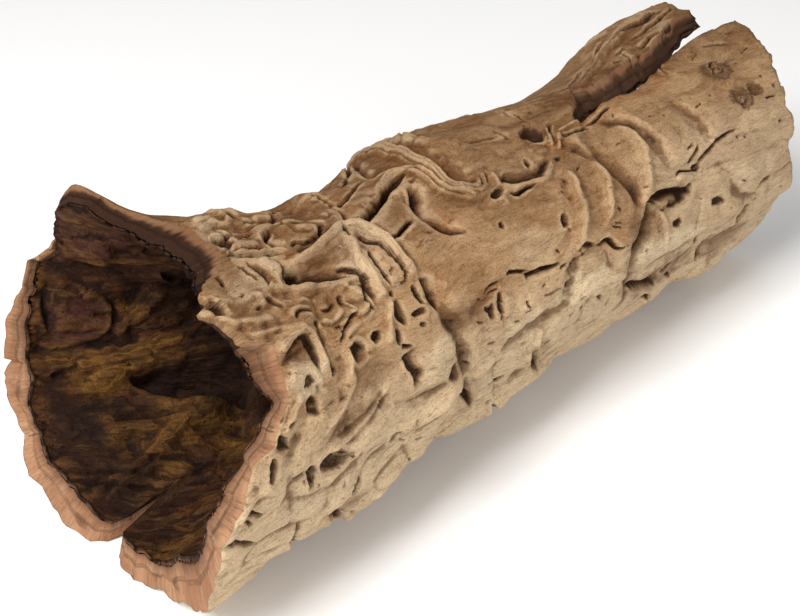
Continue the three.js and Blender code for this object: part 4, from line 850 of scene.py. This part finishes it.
def outer_relief(x, angle, radius):
    relief = Relief(x, angle)
    for swell in SWELLS:
        relief.swell(*swell)
    for rope in ROPES:
        relief.rope(*rope)
    for gouge in [*GOUGES, *fine_nicks()]:
        relief.gouge(*gouge)
    for family in HIDDEN_GOUGES:
        for gouge in hidden_gouges(*family):
            relief.gouge(*gouge)
    for pit in PITS:
        relief.pit(*pit)
    x, angle = x.ravel(), angle.ravel()
    y, z = round_log(angle, radius.ravel())
    uneven = 1 - patches(x, angle, SMOOTH)
    rough = lump_share(angle, SHOWN_ROUGHNESS)
    for share, lumps in (
        (uneven * lump_share(angle, SHOWN_LUMPS), LUMPS),
        (uneven * lump_share(angle, SHOWN_FOLDS), FOLDS),
        (patches(x, angle, DRAPED), DRAPES),
        (patches(x, angle, WRINKLED), WRINKLES),
        (rough, ROUGHNESS),
    ):
        relief.height += share * creased_lumps(x, y, z, lumps)
    relief.height += rough * 0.22 * noise(x / 5, y / 1.5, z / 1.5, 61)
    return relief


def inner_relief(x, angle, radius):
    relief = Relief(x, angle)
    for path, width, rise in INNER_RIDGES:
        relief.ridge(path, width, -rise)
    for pit in INNER_PITS:
        relief.swell(*pit)
    for path, wall, ramp, depth, lip, start, end in INNER_GOUGES:
        relief.gouge(path, wall, ramp, -depth, -lip, start, end)
    x, angle, bare = relief.x, relief.angle, radius.ravel()
    relief.height -= creased_lumps(x, *round_log(angle, bare), INNER_LUMPS)
    y, z = round_log(angle + hollow_slant(x, angle), bare)
    folds = creased_lumps(x, y, z, INNER_FOLDS) + creased_lumps(x, y, z, INNER_THREADS)
    folds = folds + 0.35 * noise(x / 6, y / 1.2, z / 1.2, 63)
    relief.height -= folds
    relief.carved = 0.8 * folds
    return relief


def blurred(field, size):
    """A sheet's values averaged over a window of so many rows and columns to each side."""
    count = 2 * size + 1
    for axis in (0, 1):
        pad = [(0, 0), (0, 0)]
        pad[axis] = (size, size)
        total = np.cumsum(np.pad(field, pad, mode="edge"), axis=axis)
        total = np.concatenate([np.zeros_like(np.take(total, [0], axis)), total], axis)
        high = np.take(total, range(count, total.shape[axis]), axis)
        low = np.take(total, range(0, total.shape[axis] - count), axis)
        field = (high - low) / count
    return field


def along_log(base, angle, mouth):
    """A rim's x at an angle, spread smoothly into the log so that rows follow the torn ends."""
    near = np.clip(1 - base / MOUTH_REACH, 0, 1) ** 2
    far = np.clip(1 - (LENGTH - base) / END_REACH, 0, 1) ** 2
    turned = turn_between(angle, 0)
    torn = 0.7 * noise(turned / 3.2, 0.0, 0.0, 91) + 0.3 * noise(turned / 1.7, 0.0, 0.0, 92)
    from_mouth = read_round(mouth, angle) + torn
    from_end = read_round(FAR_END, angle) + torn - LENGTH
    return base + from_mouth * near + from_end * far


def column_angle(share, base, slope):
    """Angle of a column: shares 0 to 1 run round the log from one side of the split to the other."""
    middle = read_row(SPLIT, base, 1)
    half = np.maximum(0, read_row(SPLIT, base, 2))
    spread = 360 - 2 * half - (half > 0) * slope * ease(0, 2, half) * ease(0.9, 1, share)
    return middle + half + share * spread


def spaced(stops):
    """Values from the first stop's place on, spaced as each stop says up to the next stop."""
    values = [stops[0][0]]
    for (start, gap), (end, _) in zip(stops, stops[1:]):
        count = max(1, round((end - start) / gap))
        values.extend(start + (end - start) * (step + 1) / count for step in range(count))
    return np.array(values)


def read_between(places, known_places, known_points):
    """Points of a line read at other places along it."""
    return np.stack([np.interp(places, known_places, column) for column in known_points.T], -1)


class Body:
    """The closed body of the log as points, triangles and one row of facts for each point."""

    def __init__(self):
        self.points = []
        self.facts = []
        self.faces = []
        self.count = 0

    def add(self, points, facts):
        """Adds points and gives their numbers."""
        self.points.append(points.reshape(-1, 3))
        self.facts.append(facts.reshape(-1, FACTS))
        start = self.count
        self.count += len(self.points[-1])
        return np.arange(start, self.count)

    def quads(self, *corners):
        a, b, c, d = [corner.ravel() for corner in corners]
        self.faces.append(np.stack([a, c, b], 1))
        self.faces.append(np.stack([a, d, c], 1))

    def zip_up(self, first, first_keys, second, second_keys, flip):
        """Triangles between two lines of points, each step taken by whichever line is behind."""
        faces = []
        i, j = 0, 0
        while i < len(first) - 1 or j < len(second) - 1:
            more_first = i < len(first) - 1
            more_second = j < len(second) - 1
            if more_first and (not more_second or first_keys[i + 1] <= second_keys[j + 1]):
                faces.append((first[i], second[j], first[i + 1]))
                i += 1
            else:
                faces.append((first[i], second[j], second[j + 1]))
                j += 1
        faces = np.array(faces)
        self.faces.append(faces[:, ::-1] if flip else faces)

    def wall_lines(self, outer_points, outer_facts, inner_points, stain, wrapped, on_split, seed):
        """Lines of points across a torn wall, from the skin towards the hollow, and their numbers."""
        lines = []
        for share in WALL_SHARES:
            points = outer_points + (inner_points - outer_points) * share
            swell = math.sin(math.pi * share)
            x, y, z = points.T
            if on_split:
                offset = 1.6 * swell * noise(x / 22, y / 9, z / 1.6, seed)
                points[:, 1] += offset
            else:
                offset = 1.1 * swell * noise(x / 9, y / 7, z / 7, seed)
                offset += 0.45 * swell * noise(x / 4, y / 2.2, z / 2.2, seed + 1)
                offset += 0.25 * swell * noise(x / 2, outer_facts[:, PLACE_ANGLE] / 0.9, z / 8, seed + 2)
                points[:, 0] += offset
            facts = outer_facts.copy()
            facts[:, CUT] = np.where(wrapped > 0.5, 0.0, 1.0)
            facts[:, INSIDE] = share > 0.5
            # Painted shade: parts of the torn face that are pushed in count as dips, which the material
            # darkens.
            facts[:, DIP] = np.clip(-0.9 * offset, 0, 1) * 0.6
            facts[:, CREST] = 0.0
            facts[:, ACROSS] = share
            facts[:, STAIN] = stain
            facts[:, ON_SPLIT] = on_split
            lines.append(self.add(points, facts))
        return lines


class Sheet:
    """One side of the wall as a grid: rows along the log, columns round it."""

    def __init__(self, bases, shares, inside):
        self.bases, self.shares, self.inside = bases, shares, inside
        base, share = np.meshgrid(bases, shares, indexing="ij")
        self.angle = column_angle(share, base, 0.0 if inside else read_row(SPLIT, base, 3))
        self.x = along_log(base, self.angle, MOUTH_INNER if inside else MOUTH_OUTER)
        self.flare = np.clip(1 - base / FLARE_REACH, 0, 1) ** 2
        bare = bare_radius(self.x, self.angle)
        if inside:
            bare = bare - read_round(WALL, self.angle) + self.flare * read_round(FLARE, self.angle)
        shaped = inner_relief if inside else outer_relief
        relief = shaped(self.x, self.angle, bare)
        self.height = relief.height.reshape(base.shape)
        self.carved = relief.carved.reshape(base.shape)
        self.radius = bare + self.height
        self.open = read_row(SPLIT, bases, 2) > 0.05

    def keep_under(self, skin):
        """Holds the hollow's wall below the skin by at least the least wall."""
        rows = np.interp(self.bases, skin.bases, np.arange(len(skin.bases)))
        columns = np.interp(self.shares, skin.shares, np.arange(len(skin.shares)))
        above = skin.radius[np.round(rows).astype(int)][:, np.round(columns).astype(int)]
        self.radius = np.minimum(self.radius, above - LEAST_WALL * (1 - 0.6 * self.flare))

    def read_facts(self):
        """The facts of the sheet's points. Its dips fade out over the last rows to a torn end."""
        outward = -1 if self.inside else 1
        fine = outward * (self.height - blurred(self.height, 3))
        wide = outward * (self.height - blurred(self.height, 9))
        rows = np.arange(len(self.x))
        from_end = np.clip(np.minimum(rows, rows[::-1]) / 4, 0, 1)[:, None]
        facts = np.zeros((*self.x.shape, FACTS))
        facts[..., INSIDE] = facts[..., ACROSS] = self.inside
        facts[..., DIP] = from_end * np.clip(-0.9 * fine - 0.32 * wide - 0.16 * self.carved, 0, 2)
        facts[..., CREST] = np.clip(0.9 * fine + 0.3 * wide, 0, 2)
        facts[..., PLACE_X] = self.x
        facts[..., PLACE_ANGLE] = self.angle
        facts[..., HEIGHT] = self.height
        return facts

    def add_to(self, body):
        """Adds the sheet to a body. Where the split is closed, its last column is its first."""
        self.points = on_log(self.x, self.angle, self.radius)
        self.facts = self.read_facts()
        self.ids = body.add(self.points, self.facts).reshape(self.x.shape)
        self.ids[~self.open, -1] = self.ids[~self.open, 0]
        corners = [self.ids[:-1, :-1], self.ids[1:, :-1], self.ids[1:, 1:], self.ids[:-1, 1:]]
        if self.inside:
            corners[1], corners[3] = corners[3], corners[1]
        body.quads(*corners)


def close_end(body, skin, hollow, row, stain, wrapped, seed):
    """Closes the wall at the mouth, row 0, or the far end, row -1, and gives its lines."""
    at_mouth = row == 0
    inner_points = read_between(skin.shares, hollow.shares, hollow.points[row])
    lines = body.wall_lines(skin.points[row], skin.facts[row], inner_points, stain, wrapped, False, seed)
    if not skin.open[row]:
        for line in lines:
            line[-1] = line[0]
    rings = [skin.ids[row], *lines]
    for outer, inner in zip(rings, rings[1:]):
        corners = (outer[:-1], outer[1:], inner[1:], inner[:-1])
        body.quads(*(corners if at_mouth else corners[::-1]))
    body.zip_up(rings[-1], skin.shares, hollow.ids[row], hollow.shares, at_mouth)
    return lines


def open_stretches(opened):
    """Each stretch of rows where the split is open, with the closed rows beside it."""
    stretches = []
    start = None
    for row, is_open in enumerate(opened):
        if is_open and start is None:
            start = row - 1
        if not is_open and start is not None:
            stretches.append(slice(start, row + 1))
            start = None
    if start is not None:
        stretches.append(slice(start, len(opened)))
    return stretches


def close_split(body, skin, hollow, stain, end_lines, seed):
    """Closes the wall along both sides of the split. They share their first points, and their
    last ones too, unless the split runs out at the far end."""
    for rows, inner_rows in zip(open_stretches(skin.open), open_stretches(hollow.open)):
        bases, inner_bases = skin.bases[rows], hollow.bases[inner_rows]
        known = np.arange(len(inner_bases))
        first_side = None
        for column in (0, -1):
            steps = np.interp(bases, inner_bases, known)
            inner_points = read_between(steps, known, hollow.points[inner_rows, column])
            lines = body.wall_lines(
                skin.points[rows, column], skin.facts[rows, column], inner_points, stain, 0.0, True, seed)
            for index, line in enumerate(lines):
                if first_side:
                    line[[0, -1]] = first_side[index][[0, -1]]
                if rows.stop == len(skin.bases):
                    line[-1] = end_lines[index][column]
            first_side = lines
            strips = [skin.ids[rows, column], *lines]
            for upper, lower in zip(strips, strips[1:]):
                corners = (upper[:-1], lower[:-1], lower[1:], upper[1:])
                body.quads(*(corners if column == 0 else corners[::-1]))
            body.zip_up(strips[-1], bases, hollow.ids[inner_rows, column], inner_bases, column == -1)


def build_body(spacing):
    """The whole log: skin, hollow, torn ends and the sides of the split. Its points stand closer
    together where the photograph shows it."""
    degree = spacing / 360
    skin = Sheet(
        spaced([(0.0, 0.6 * spacing), (LENGTH, 1)]),
        spaced([(0.0, 0.55 * degree), (0.43, 1.5 * degree), (0.82, 0.7 * degree), (1.0, 1)]), False)
    hollow = Sheet(
        spaced([(0.0, 0.7 * spacing), (80, 1.6 * spacing), (120, 3), (LENGTH, 1)]),
        spaced([(0.0, 1.1 * degree), (0.34, 0.75 * degree), (0.86, 1.1 * degree), (1.0, 1)]), True)
    hollow.keep_under(skin)
    body = Body()
    skin.add_to(body)
    hollow.add_to(body)
    mouth_angle = skin.angle[0]
    stain, wrapped = read_round(RIM_STAIN, mouth_angle), read_round(RIM_SKIN, mouth_angle)
    close_end(body, skin, hollow, 0, stain, wrapped, 71)
    end_lines = close_end(body, skin, hollow, -1, FAR_STAIN, 0.0, 83)
    close_split(body, skin, hollow, FAR_STAIN, end_lines, 97)
    points, facts, faces = [np.concatenate(part) for part in (body.points, body.facts, body.faces)]
    a, b, c = faces.T
    return points, facts, faces[(a != b) & (b != c) & (c != a)]


def lay_down(points):
    """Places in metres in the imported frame, cut flat where the log rests."""
    turned = math.radians(REST_TILT)
    c, s = math.cos(turned), math.sin(turned)
    x, y, z = points.T
    placed = np.stack([c * x + s * z - CENTRE_X, y - CENTRE_Y, c * z - s * x - FLOOR_LEVEL], -1)
    placed[:, 2] = np.maximum(placed[:, 2], 0)
    return placed * MM


def put_in_scene(name, data):
    made = bpy.data.objects.new(name, data)
    bpy.context.scene.collection.objects.link(made)
    return made


def mesh_of(name, points, faces):
    mesh = bpy.data.meshes.new(name)
    mesh.vertices.add(len(points))
    mesh.vertices.foreach_set("co", points.astype(np.float32).ravel())
    mesh.loops.add(3 * len(faces))
    mesh.loops.foreach_set("vertex_index", faces.astype(np.int32).ravel())
    mesh.polygons.add(len(faces))
    mesh.polygons.foreach_set("loop_start", np.arange(0, 3 * len(faces), 3, dtype=np.int32))
    mesh.update(calc_edges=True)
    mesh.validate()
    return mesh


def add_thinning_group(dense, facts):
    """Weighs the points for the thinning. The side that the photograph doesn't show and the depth
    of the hollow give up triangles first, and the rim of the mouth gives up none."""
    x, inward = facts[:, PLACE_X], facts[:, INSIDE] > 0.5
    turned_away = np.abs(turn_between(facts[:, PLACE_ANGLE], SEEN_MIDDLE)) > SEEN_HALF
    unseen = np.where(inward, x > HOLLOW_SEEN, turned_away)
    unseen &= (facts[:, CUT] < 0.5) & (x > 14) & (x < 300)
    on_mouth_rim = (facts[:, ACROSS] > 0) & (facts[:, ACROSS] < 1) & (x < 60)
    group = dense.vertex_groups.new(name="thinned most")
    for chosen, weight in ((unseen, 1.0), (~unseen, 0.5), (on_mouth_rim, 0.0)):
        group.add(np.flatnonzero(chosen).tolist(), weight, "REPLACE")
    return group.name


def thinned_log():
    """The log's mesh, thinned to its triangles, and the facts of the points that it keeps."""
    points, facts, faces = build_body(1.0)
    placed = lay_down(points)
    dense_mesh = mesh_of("grapewood_dense", placed, faces)
    dense = put_in_scene("grapewood_dense", dense_mesh)
    thin = dense.modifiers.new("thin", "DECIMATE")
    thin.ratio = min(1.0, TRIANGLES / len(faces))
    thin.vertex_group = add_thinning_group(dense, facts)
    thin.vertex_group_factor = UNSEEN_THINNING
    thinned = dense.evaluated_get(bpy.context.evaluated_depsgraph_get())
    mesh = bpy.data.meshes.new_from_object(thinned)
    mesh.name = "grapewood"
    bpy.data.objects.remove(dense)
    bpy.data.meshes.remove(dense_mesh)
    kept = np.zeros(3 * len(mesh.vertices), np.float32)
    mesh.vertices.foreach_get("co", kept)
    tree = KDTree(len(placed))
    for index, place in enumerate(placed.tolist()):
        tree.insert(place, index)
    tree.balance()
    nearest = [tree.find(place)[1] for place in kept.reshape(-1, 3).tolist()]
    print("grapewood:", len(faces), "faces thinned to", len(mesh.polygons))
    return mesh, facts[nearest]


def store(mesh, name, values):
    """Keeps a value or a vector for each point, for the material to read."""
    kind, field = ("FLOAT", "value") if values.ndim == 1 else ("FLOAT_VECTOR", "vector")
    layer = mesh.attributes.new(name, kind, "POINT")
    layer.data.foreach_set(field, values.astype(np.float32).ravel())


def store_looks(mesh, facts):
    """What the material reads at each point: its facts, its place in the grain and its tints, some
    of them partly painted shade.
    """
    x, angle, height, inside = [facts[:, column] for column in (PLACE_X, PLACE_ANGLE, HEIGHT, INSIDE)]
    turned = turn_between(angle, 0)
    columns = {"cut": CUT, "inside": INSIDE, "dip": DIP, "crest": CREST, "stain": STAIN}
    for name, column in columns.items():
        store(mesh, name, facts[:, column])
    store(mesh, "place", np.stack([x, turned, 0 * x], -1))
    grain_angle = angle + flow(x, angle) + inside * hollow_slant(x, angle)
    store(mesh, "grain", on_log(x, grain_angle, 55 + height - 10 * inside))
    depth = 12 * facts[:, ACROSS]
    on_split = facts[:, ON_SPLIT] > 0.5
    torn_face = [np.where(on_split, 1.3 * depth, angle), np.where(on_split, x, depth), x * ~on_split]
    store(mesh, "torn_depth", depth)
    store(mesh, "torn_face", np.stack(torn_face, -1))
    brown, orange, pale = [patches(x, angle, table) for table in (BROWN_AND_SHADE, ORANGE, PALE)]
    # The skin is browner over the top and paler down the front and under it.
    top = 0.55 * (1 - ease(26, 62, np.abs(turned))) * (1 - 0.8 * ease(196, 216, x) * ease(0, 12, turned))
    far_front = 0.5 * ease(200, 240, x) * ease(26, 60, turned)
    flank = 0.75 * ease(58, 104, turned)
    pale = np.maximum(np.maximum(pale, far_front), flank)
    store(mesh, "skin_tint_and_shade", np.stack([np.maximum(brown, top), orange, pale], -1))
    store(mesh, "hollow_tint_and_shade", np.stack([patches(x, angle, table) for table in (GOLD, DARK_AND_SHADE, PLUM)], -1))


def srgb(red, green, blue):
    """A colour given as screen values of 0 to 255, as the shader wants it."""
    values = [value / 255 for value in (red, green, blue)]
    linear = [value / 12.92 if value <= 0.04045 else ((value + 0.055) / 1.055) ** 2.4 for value in values]
    return (*linear, 1.0)


class Value:
    """A number in the shader's network that takes part in ordinary sums."""

    def __init__(self, shader, socket):
        self.shader = shader
        self.socket = socket

    def maths(self, operation, *others):
        inputs = dict(enumerate([self, *others]))
        node = self.shader.node("ShaderNodeMath", {"operation": operation}, inputs)
        return Value(self.shader, node.outputs[0])

    def __add__(self, other):
        return self.maths("ADD", other)

    def __radd__(self, other):
        return self.maths("ADD", other)

    def __sub__(self, other):
        return self.maths("SUBTRACT", other)

    def __rsub__(self, other):
        return (self * -1.0) + other

    def __mul__(self, other):
        return self.maths("MULTIPLY", other)

    def __rmul__(self, other):
        return self.maths("MULTIPLY", other)

    def __pow__(self, other):
        return self.maths("POWER", other)

    def between(self, low, high):
        """0 below low and 1 above high, eased between."""
        node = self.shader.node("ShaderNodeMapRange", {"interpolation_type": "SMOOTHSTEP"}, {
            "Value": self, "From Min": low, "From Max": high, "To Min": 0.0, "To Max": 1.0,
        })
        return Value(self.shader, node.outputs["Result"])


class Shader:
    """A node material that is built up call by call."""

    def __init__(self, name):
        self.material = bpy.data.materials.new(name)
        self.material.use_nodes = True
        self.tree = self.material.node_tree
        self.tree.nodes.clear()

    def feed(self, socket, value):
        if isinstance(value, Value):
            value = value.socket
        if isinstance(value, bpy.types.NodeSocket):
            self.tree.links.new(value, socket)
        else:
            socket.default_value = value

    def node(self, kind, settings, sockets):
        """Makes a node: its settings first, then what its sockets hold or are linked to."""
        made = self.tree.nodes.new(kind)
        for name, value in settings.items():
            setattr(made, name, value)
        for name, value in sockets.items():
            self.feed(made.inputs[name], value)
        return made

    def blend(self, share, first, second, kind="MIX"):
        """A colour: the first where the share is 0, the second where it is 1."""
        settings = {"data_type": "RGBA", "blend_type": kind, "clamp_factor": True}
        return self.node("ShaderNodeMix", settings, {0: share, 6: first, 7: second}).outputs[2]

    def layered(self, colour, layers):
        """A colour with others laid over it. Each gives its share, its screen values and, where
        it isn't a plain mix, its kind."""
        for share, values, *kind in layers:
            colour = self.blend(share, colour, srgb(*values), *kind)
        return colour

    def value(self, name):
        """A number that is stored with the mesh."""
        return Value(self, self.node("ShaderNodeAttribute", {"attribute_name": name}, {}).outputs["Fac"])

    def vector(self, name):
        """A vector that is stored with the mesh."""
        return self.node("ShaderNodeAttribute", {"attribute_name": name}, {}).outputs["Vector"]

    def parts(self, vector):
        split = self.node("ShaderNodeSeparateXYZ", {}, {0: vector})
        return [Value(self, output) for output in split.outputs]

    def scaled(self, vector, scale):
        settings = {"operation": "MULTIPLY"}
        return self.node("ShaderNodeVectorMath", settings, {0: vector, 1: scale}).outputs[0]

    def noise(self, vector, scale, detail, rough, warp=0.0):
        made = self.node("ShaderNodeTexNoise", {}, {
            "Vector": vector, "Scale": scale, "Detail": detail, "Roughness": rough, "Distortion": warp,
        })
        return Value(self, made.outputs["Fac"])

    def spots(self, vector, scale):
        made = self.node("ShaderNodeTexVoronoi", {"feature": "F1"}, {"Vector": vector, "Scale": scale})
        return Value(self, made.outputs["Distance"])

    def finished(self, sockets):
        """The material, with a surface of these sockets."""
        surface = self.node("ShaderNodeBsdfPrincipled", {}, sockets)
        self.node("ShaderNodeOutputMaterial", {}, {"Surface": surface.outputs["BSDF"]})
        return self.material


class Grapewood(Shader):
    """Sandblasted grapewood: pale carved skin, pink torn ends and a dark figured hollow, with shade
    painted into the dips and highlights painted onto the crests.
    """

    def __init__(self):
        super().__init__("sandblasted grapewood")
        self.dip = self.value("dip")
        self.crest = self.value("crest")
        grain = self.vector("grain")

        # fibres run along the log and follow its relief
        self.fibres = self.noise(self.scaled(grain, (0.07, 1.0, 1.0)), 1.1, 4.0, 0.62, 0.3)
        self.threads = self.noise(self.scaled(grain, (0.13, 1.0, 1.0)), 2.3, 3.0, 0.65)
        self.clouds = self.noise(self.scaled(grain, (0.35, 1.0, 1.0)), 0.09, 4.0, 0.6, 0.6)
        self.mottle = self.noise(self.scaled(grain, (0.5, 1.0, 1.0)), 0.38, 4.0, 0.62, 0.4)
        self.grit = self.noise(grain, 1.7, 3.0, 0.75)
        pore_centres = 1 - self.spots(self.scaled(grain, (0.3, 1.0, 1.0)), 0.62).between(0.08, 0.26)
        self.pores = pore_centres * self.mottle.between(0.5, 0.62)

        # growth rings: lines at even depths below the skin
        _, ring_y, ring_z = self.parts(grain)
        self.ring_radius = (ring_y * ring_y + ring_z * ring_z) ** 0.5
        ring_wave = (self.ring_radius * 2.6 + self.clouds * 16 + self.fibres * 2.2).maths("SINE")
        self.ring_lines = ring_wave.between(0.35, 0.98)

        # lines and cracks across the torn faces, from the skin to the hollow
        torn = self.vector("torn_face")
        self.rays = self.noise(self.scaled(torn, (1.0, 0.12, 0.2)), 1.4, 4.0, 0.65, 0.2)
        splits = self.noise(self.scaled(torn, (1.0, 0.06, 0.1)), 0.55, 2.0, 0.5, 0.4)
        self.checks = splits.between(0.27, 0.33)

    def knots(self):
        """The layers of the stained knots: a dark round patch for each, with rings in it."""
        place_x, place_angle, _ = self.parts(self.vector("place"))
        layers = []
        for knot_x, knot_angle, half_length, half_width in KNOTS:
            off_x = (place_x - knot_x) * (1 / half_length)
            off_angle = (place_angle - knot_angle) * (1 / half_width)
            from_knot = (off_x * off_x + off_angle * off_angle) ** 0.5 + (self.mottle - 0.5) * 1.1
            rings = (from_knot * 9).maths("SINE").between(-0.2, 0.9)
            layers.append(((1 - from_knot.between(0.85, 1.15)) * (0.55 + rings * 0.3), (92, 62, 44)))
        return layers

    def skin(self):
        brown, orange, pale = self.parts(self.vector("skin_tint_and_shade"))
        ground = self.blend(self.clouds.between(0.35, 0.68), srgb(152, 117, 81), srgb(184, 151, 113))
        return self.layered(ground, [
            (self.mottle.between(0.42, 0.72) * 0.6, (222, 205, 184), "MULTIPLY"),
            (pale * 0.85, (217, 197, 164)),
            (orange * 0.7, (168, 112, 68)),
            # brown patches: the skin's own brown, and painted shade in its valleys and hollows
            (brown * 0.8, (98, 62, 32)),
            *self.knots(),
            (self.ring_lines * (0.12 + brown * 0.3), (84, 56, 35)),
            (self.fibres.between(0.48, 0.76) * 0.6, (206, 186, 162), "MULTIPLY"),
            ((1 - self.threads.between(0.32, 0.5)) * 0.6, (190, 166, 140), "MULTIPLY"),
            # painted highlight on the crests, and painted shade in the dips and gouges, darkest in the
            # deepest
            (self.crest.between(0.15, 1.0) * 0.42, (205, 177, 140)),
            (self.dip.between(0.08, 0.75) * 0.68, (98, 62, 34)),
            (self.dip.between(0.65, 1.6) * 0.82, (42, 24, 13)),
            (self.pores * 0.5, (80, 54, 34)),
            ((1 - self.grit.between(0.32, 0.5)) * 0.62, (180, 158, 134), "MULTIPLY"),
            (self.grit.between(0.56, 0.72) * (0.26 - brown * 0.13), (214, 190, 154)),
        ])

    def torn_wood(self):
        depth = self.value("torn_depth")
        stain = self.value("stain")
        ground = self.blend(self.clouds.between(0.35, 0.65), srgb(154, 110, 80), srgb(176, 135, 103))
        return self.layered(ground, [
            (self.rays.between(0.46, 0.7) * 0.5, (108, 68, 42)),
            ((1 - self.checks) * 0.5, (56, 33, 22)),
            (depth.between(6, 11.5) * 0.75, (84, 52, 32)),
            # painted shade in the dips of the torn face
            (self.dip.between(0.1, 0.6) * 0.6, (72, 45, 30)),
            (stain * 0.7, (104, 72, 48)),
            (stain * (depth + self.mottle * 5).between(4.2, 7) * 0.95, (44, 25, 16)),
            ((1 - self.grit.between(0.3, 0.46)) * 0.3, (88, 56, 38)),
        ])

    def heart(self):
        """The hollow: dark red-brown with gold lines that follow its folds, with painted highlights on
        its crests and painted shade in its dips and deep inside it.
        """
        gold, dark, plum = self.parts(self.vector("hollow_tint_and_shade"))
        swirl = self.ring_radius * 3.1 + self.clouds * 16 + self.mottle * 6 + self.fibres * 1.6
        lines = swirl.maths("SINE").between(0.1, 0.9)
        ground = self.blend(self.clouds.between(0.38, 0.66), srgb(37, 19, 8), srgb(58, 32, 13))
        return self.layered(ground, [
            (plum * 0.75, (78, 47, 37)),
            (lines * 0.4, (96, 61, 32)),
            (gold * (0.35 + lines * 0.55), (122, 84, 36)),
            (self.threads.between(0.54, 0.72) * (0.14 + gold * 0.5), (124, 86, 40)),
            # painted highlight on the hollow's crests
            (self.crest.between(0.1, 0.9) * 0.28, (118, 82, 44)),
            # dark patches: the hollow's own dark figure, and painted shade over its recesses and deep
            # inside it
            (dark * 0.75, (30, 16, 12)),
            # painted shade in the hollow's dips
            (self.dip.between(0.2, 1.3) * 0.75, (24, 12, 7)),
            (self.fibres.between(0.46, 0.72) * 0.8, (150, 126, 104), "MULTIPLY"),
            ((1 - self.grit.between(0.32, 0.5)) * 0.7, (140, 114, 90), "MULTIPLY"),
        ])

    def wood(self):
        cut, inside = self.value("cut"), self.value("inside")
        colour = self.blend(inside.between(0.3, 0.7), self.skin(), self.heart())
        colour = self.blend(cut.between(0.3, 0.75), colour, self.torn_wood())
        height = self.fibres * 0.4 + self.threads * 0.25 + self.grit * 0.4 + self.mottle * 0.7
        height = height + self.ring_lines * -0.14 + self.pores * -0.45
        height = height + cut * (self.rays * -0.5 + self.checks * 0.5)
        bumps = self.node("ShaderNodeBump", {}, {"Strength": 0.8, "Distance": 0.0014, "Height": height})
        return self.finished({
            "Base Color": colour, "Roughness": 0.86 - inside * 0.22 - self.dip.between(0.3, 1.2) * 0.05,
            "Specular IOR Level": 0.1, "Normal": bumps.outputs["Normal"],
        })


def build_log():
    mesh, facts = thinned_log()
    store_looks(mesh, facts)
    mesh.polygons.foreach_set("use_smooth", np.ones(len(mesh.polygons), bool))
    mesh.materials.append(Grapewood().wood())
    return put_in_scene("grapewood", mesh)


# The photograph's view of the log, in the log's own frame: how far the camera is turned and
# raised in degrees, its focal length in pixels of the picture, and where the mouth's end of the
# log's axis lies from it, to the right, up and away
VIEW_TURN = -41.7
VIEW_HEIGHT = 32.9
FOCAL_PIXELS = 1564
IMAGE_WIDTH = 800
SENSOR = 36.0
AXIS_FROM_CAMERA = (-92.0, -33.6, 577.0)


def add_camera():
    turn, rise = math.radians(VIEW_TURN), math.radians(VIEW_HEIGHT)
    right = Vector((math.cos(turn), math.sin(turn), 0))
    back = Vector((math.sin(turn) * math.cos(rise), -math.cos(turn) * math.cos(rise), math.sin(rise)))
    up = back.cross(right)
    sideways, upwards, away = AXIS_FROM_CAMERA
    place = -(sideways * right + upwards * up - away * back)
    tilt = Matrix.Rotation(math.radians(REST_TILT), 3, "Y")
    place = tilt @ place - Vector((CENTRE_X, CENTRE_Y, FLOOR_LEVEL))
    axes = Matrix((tilt @ right, tilt @ up, tilt @ back)).transposed().to_4x4()
    data = bpy.data.cameras.new("view")
    data.sensor_width = SENSOR
    data.lens = FOCAL_PIXELS / IMAGE_WIDTH * SENSOR
    data.clip_start = 0.02
    data.clip_end = 20
    camera = put_in_scene("view", data)
    camera.matrix_world = Matrix.Translation(place * MM) @ axes
    bpy.context.scene.camera = camera


# Lights: name, place, width and height, watts. They all point at one place in the log, and the
# surroundings give a soft light of their own
LIGHTS = [
    ("key", (-0.8, -0.15, 1.05), (0.6, 0.6), 18.5),
    ("front", (-0.1, -1.25, 0.6), (1.0, 0.8), 6),
    ("mouth side", (-1.3, -0.1, 0.45), (0.7, 0.7), 2.0),
]
LIT_PLACE = (0.0, 0.0, 0.06)
SURROUNDING_LIGHT = 0.42


def add_lights():
    for name, place, size, power in LIGHTS:
        data = bpy.data.lights.new(name, "AREA")
        data.shape = "RECTANGLE"
        data.size, data.size_y = size
        data.energy = power
        lamp = put_in_scene(name, data)
        lamp.location = place
        aim = Vector(LIT_PLACE) - Vector(place)
        lamp.rotation_euler = aim.to_track_quat("-Z", "Y").to_euler()
    world = bpy.data.worlds.new("studio")
    bpy.context.scene.world = world
    world.use_nodes = True
    background = world.node_tree.nodes["Background"]
    background.inputs["Color"].default_value = srgb(252, 250, 247)
    background.inputs["Strength"].default_value = SURROUNDING_LIGHT


def add_floor():
    half = 3.0
    corners = [(-half, -half, 0), (half, -half, 0), (half, half, 0), (-half, half, 0)]
    mesh = bpy.data.meshes.new("floor")
    mesh.from_pydata(corners, [], [(0, 1, 2, 3)])
    mesh.materials.append(Shader("white paper").finished({
        "Base Color": srgb(250, 250, 250), "Roughness": 0.9, "Specular IOR Level": 0.1,
    }))
    put_in_scene("floor", mesh)


log = build_log()
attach(log, "root")
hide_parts("grapewood_log")
add_camera()
add_floor()
add_lights()
bpy.context.scene.view_settings.view_transform = "Standard"
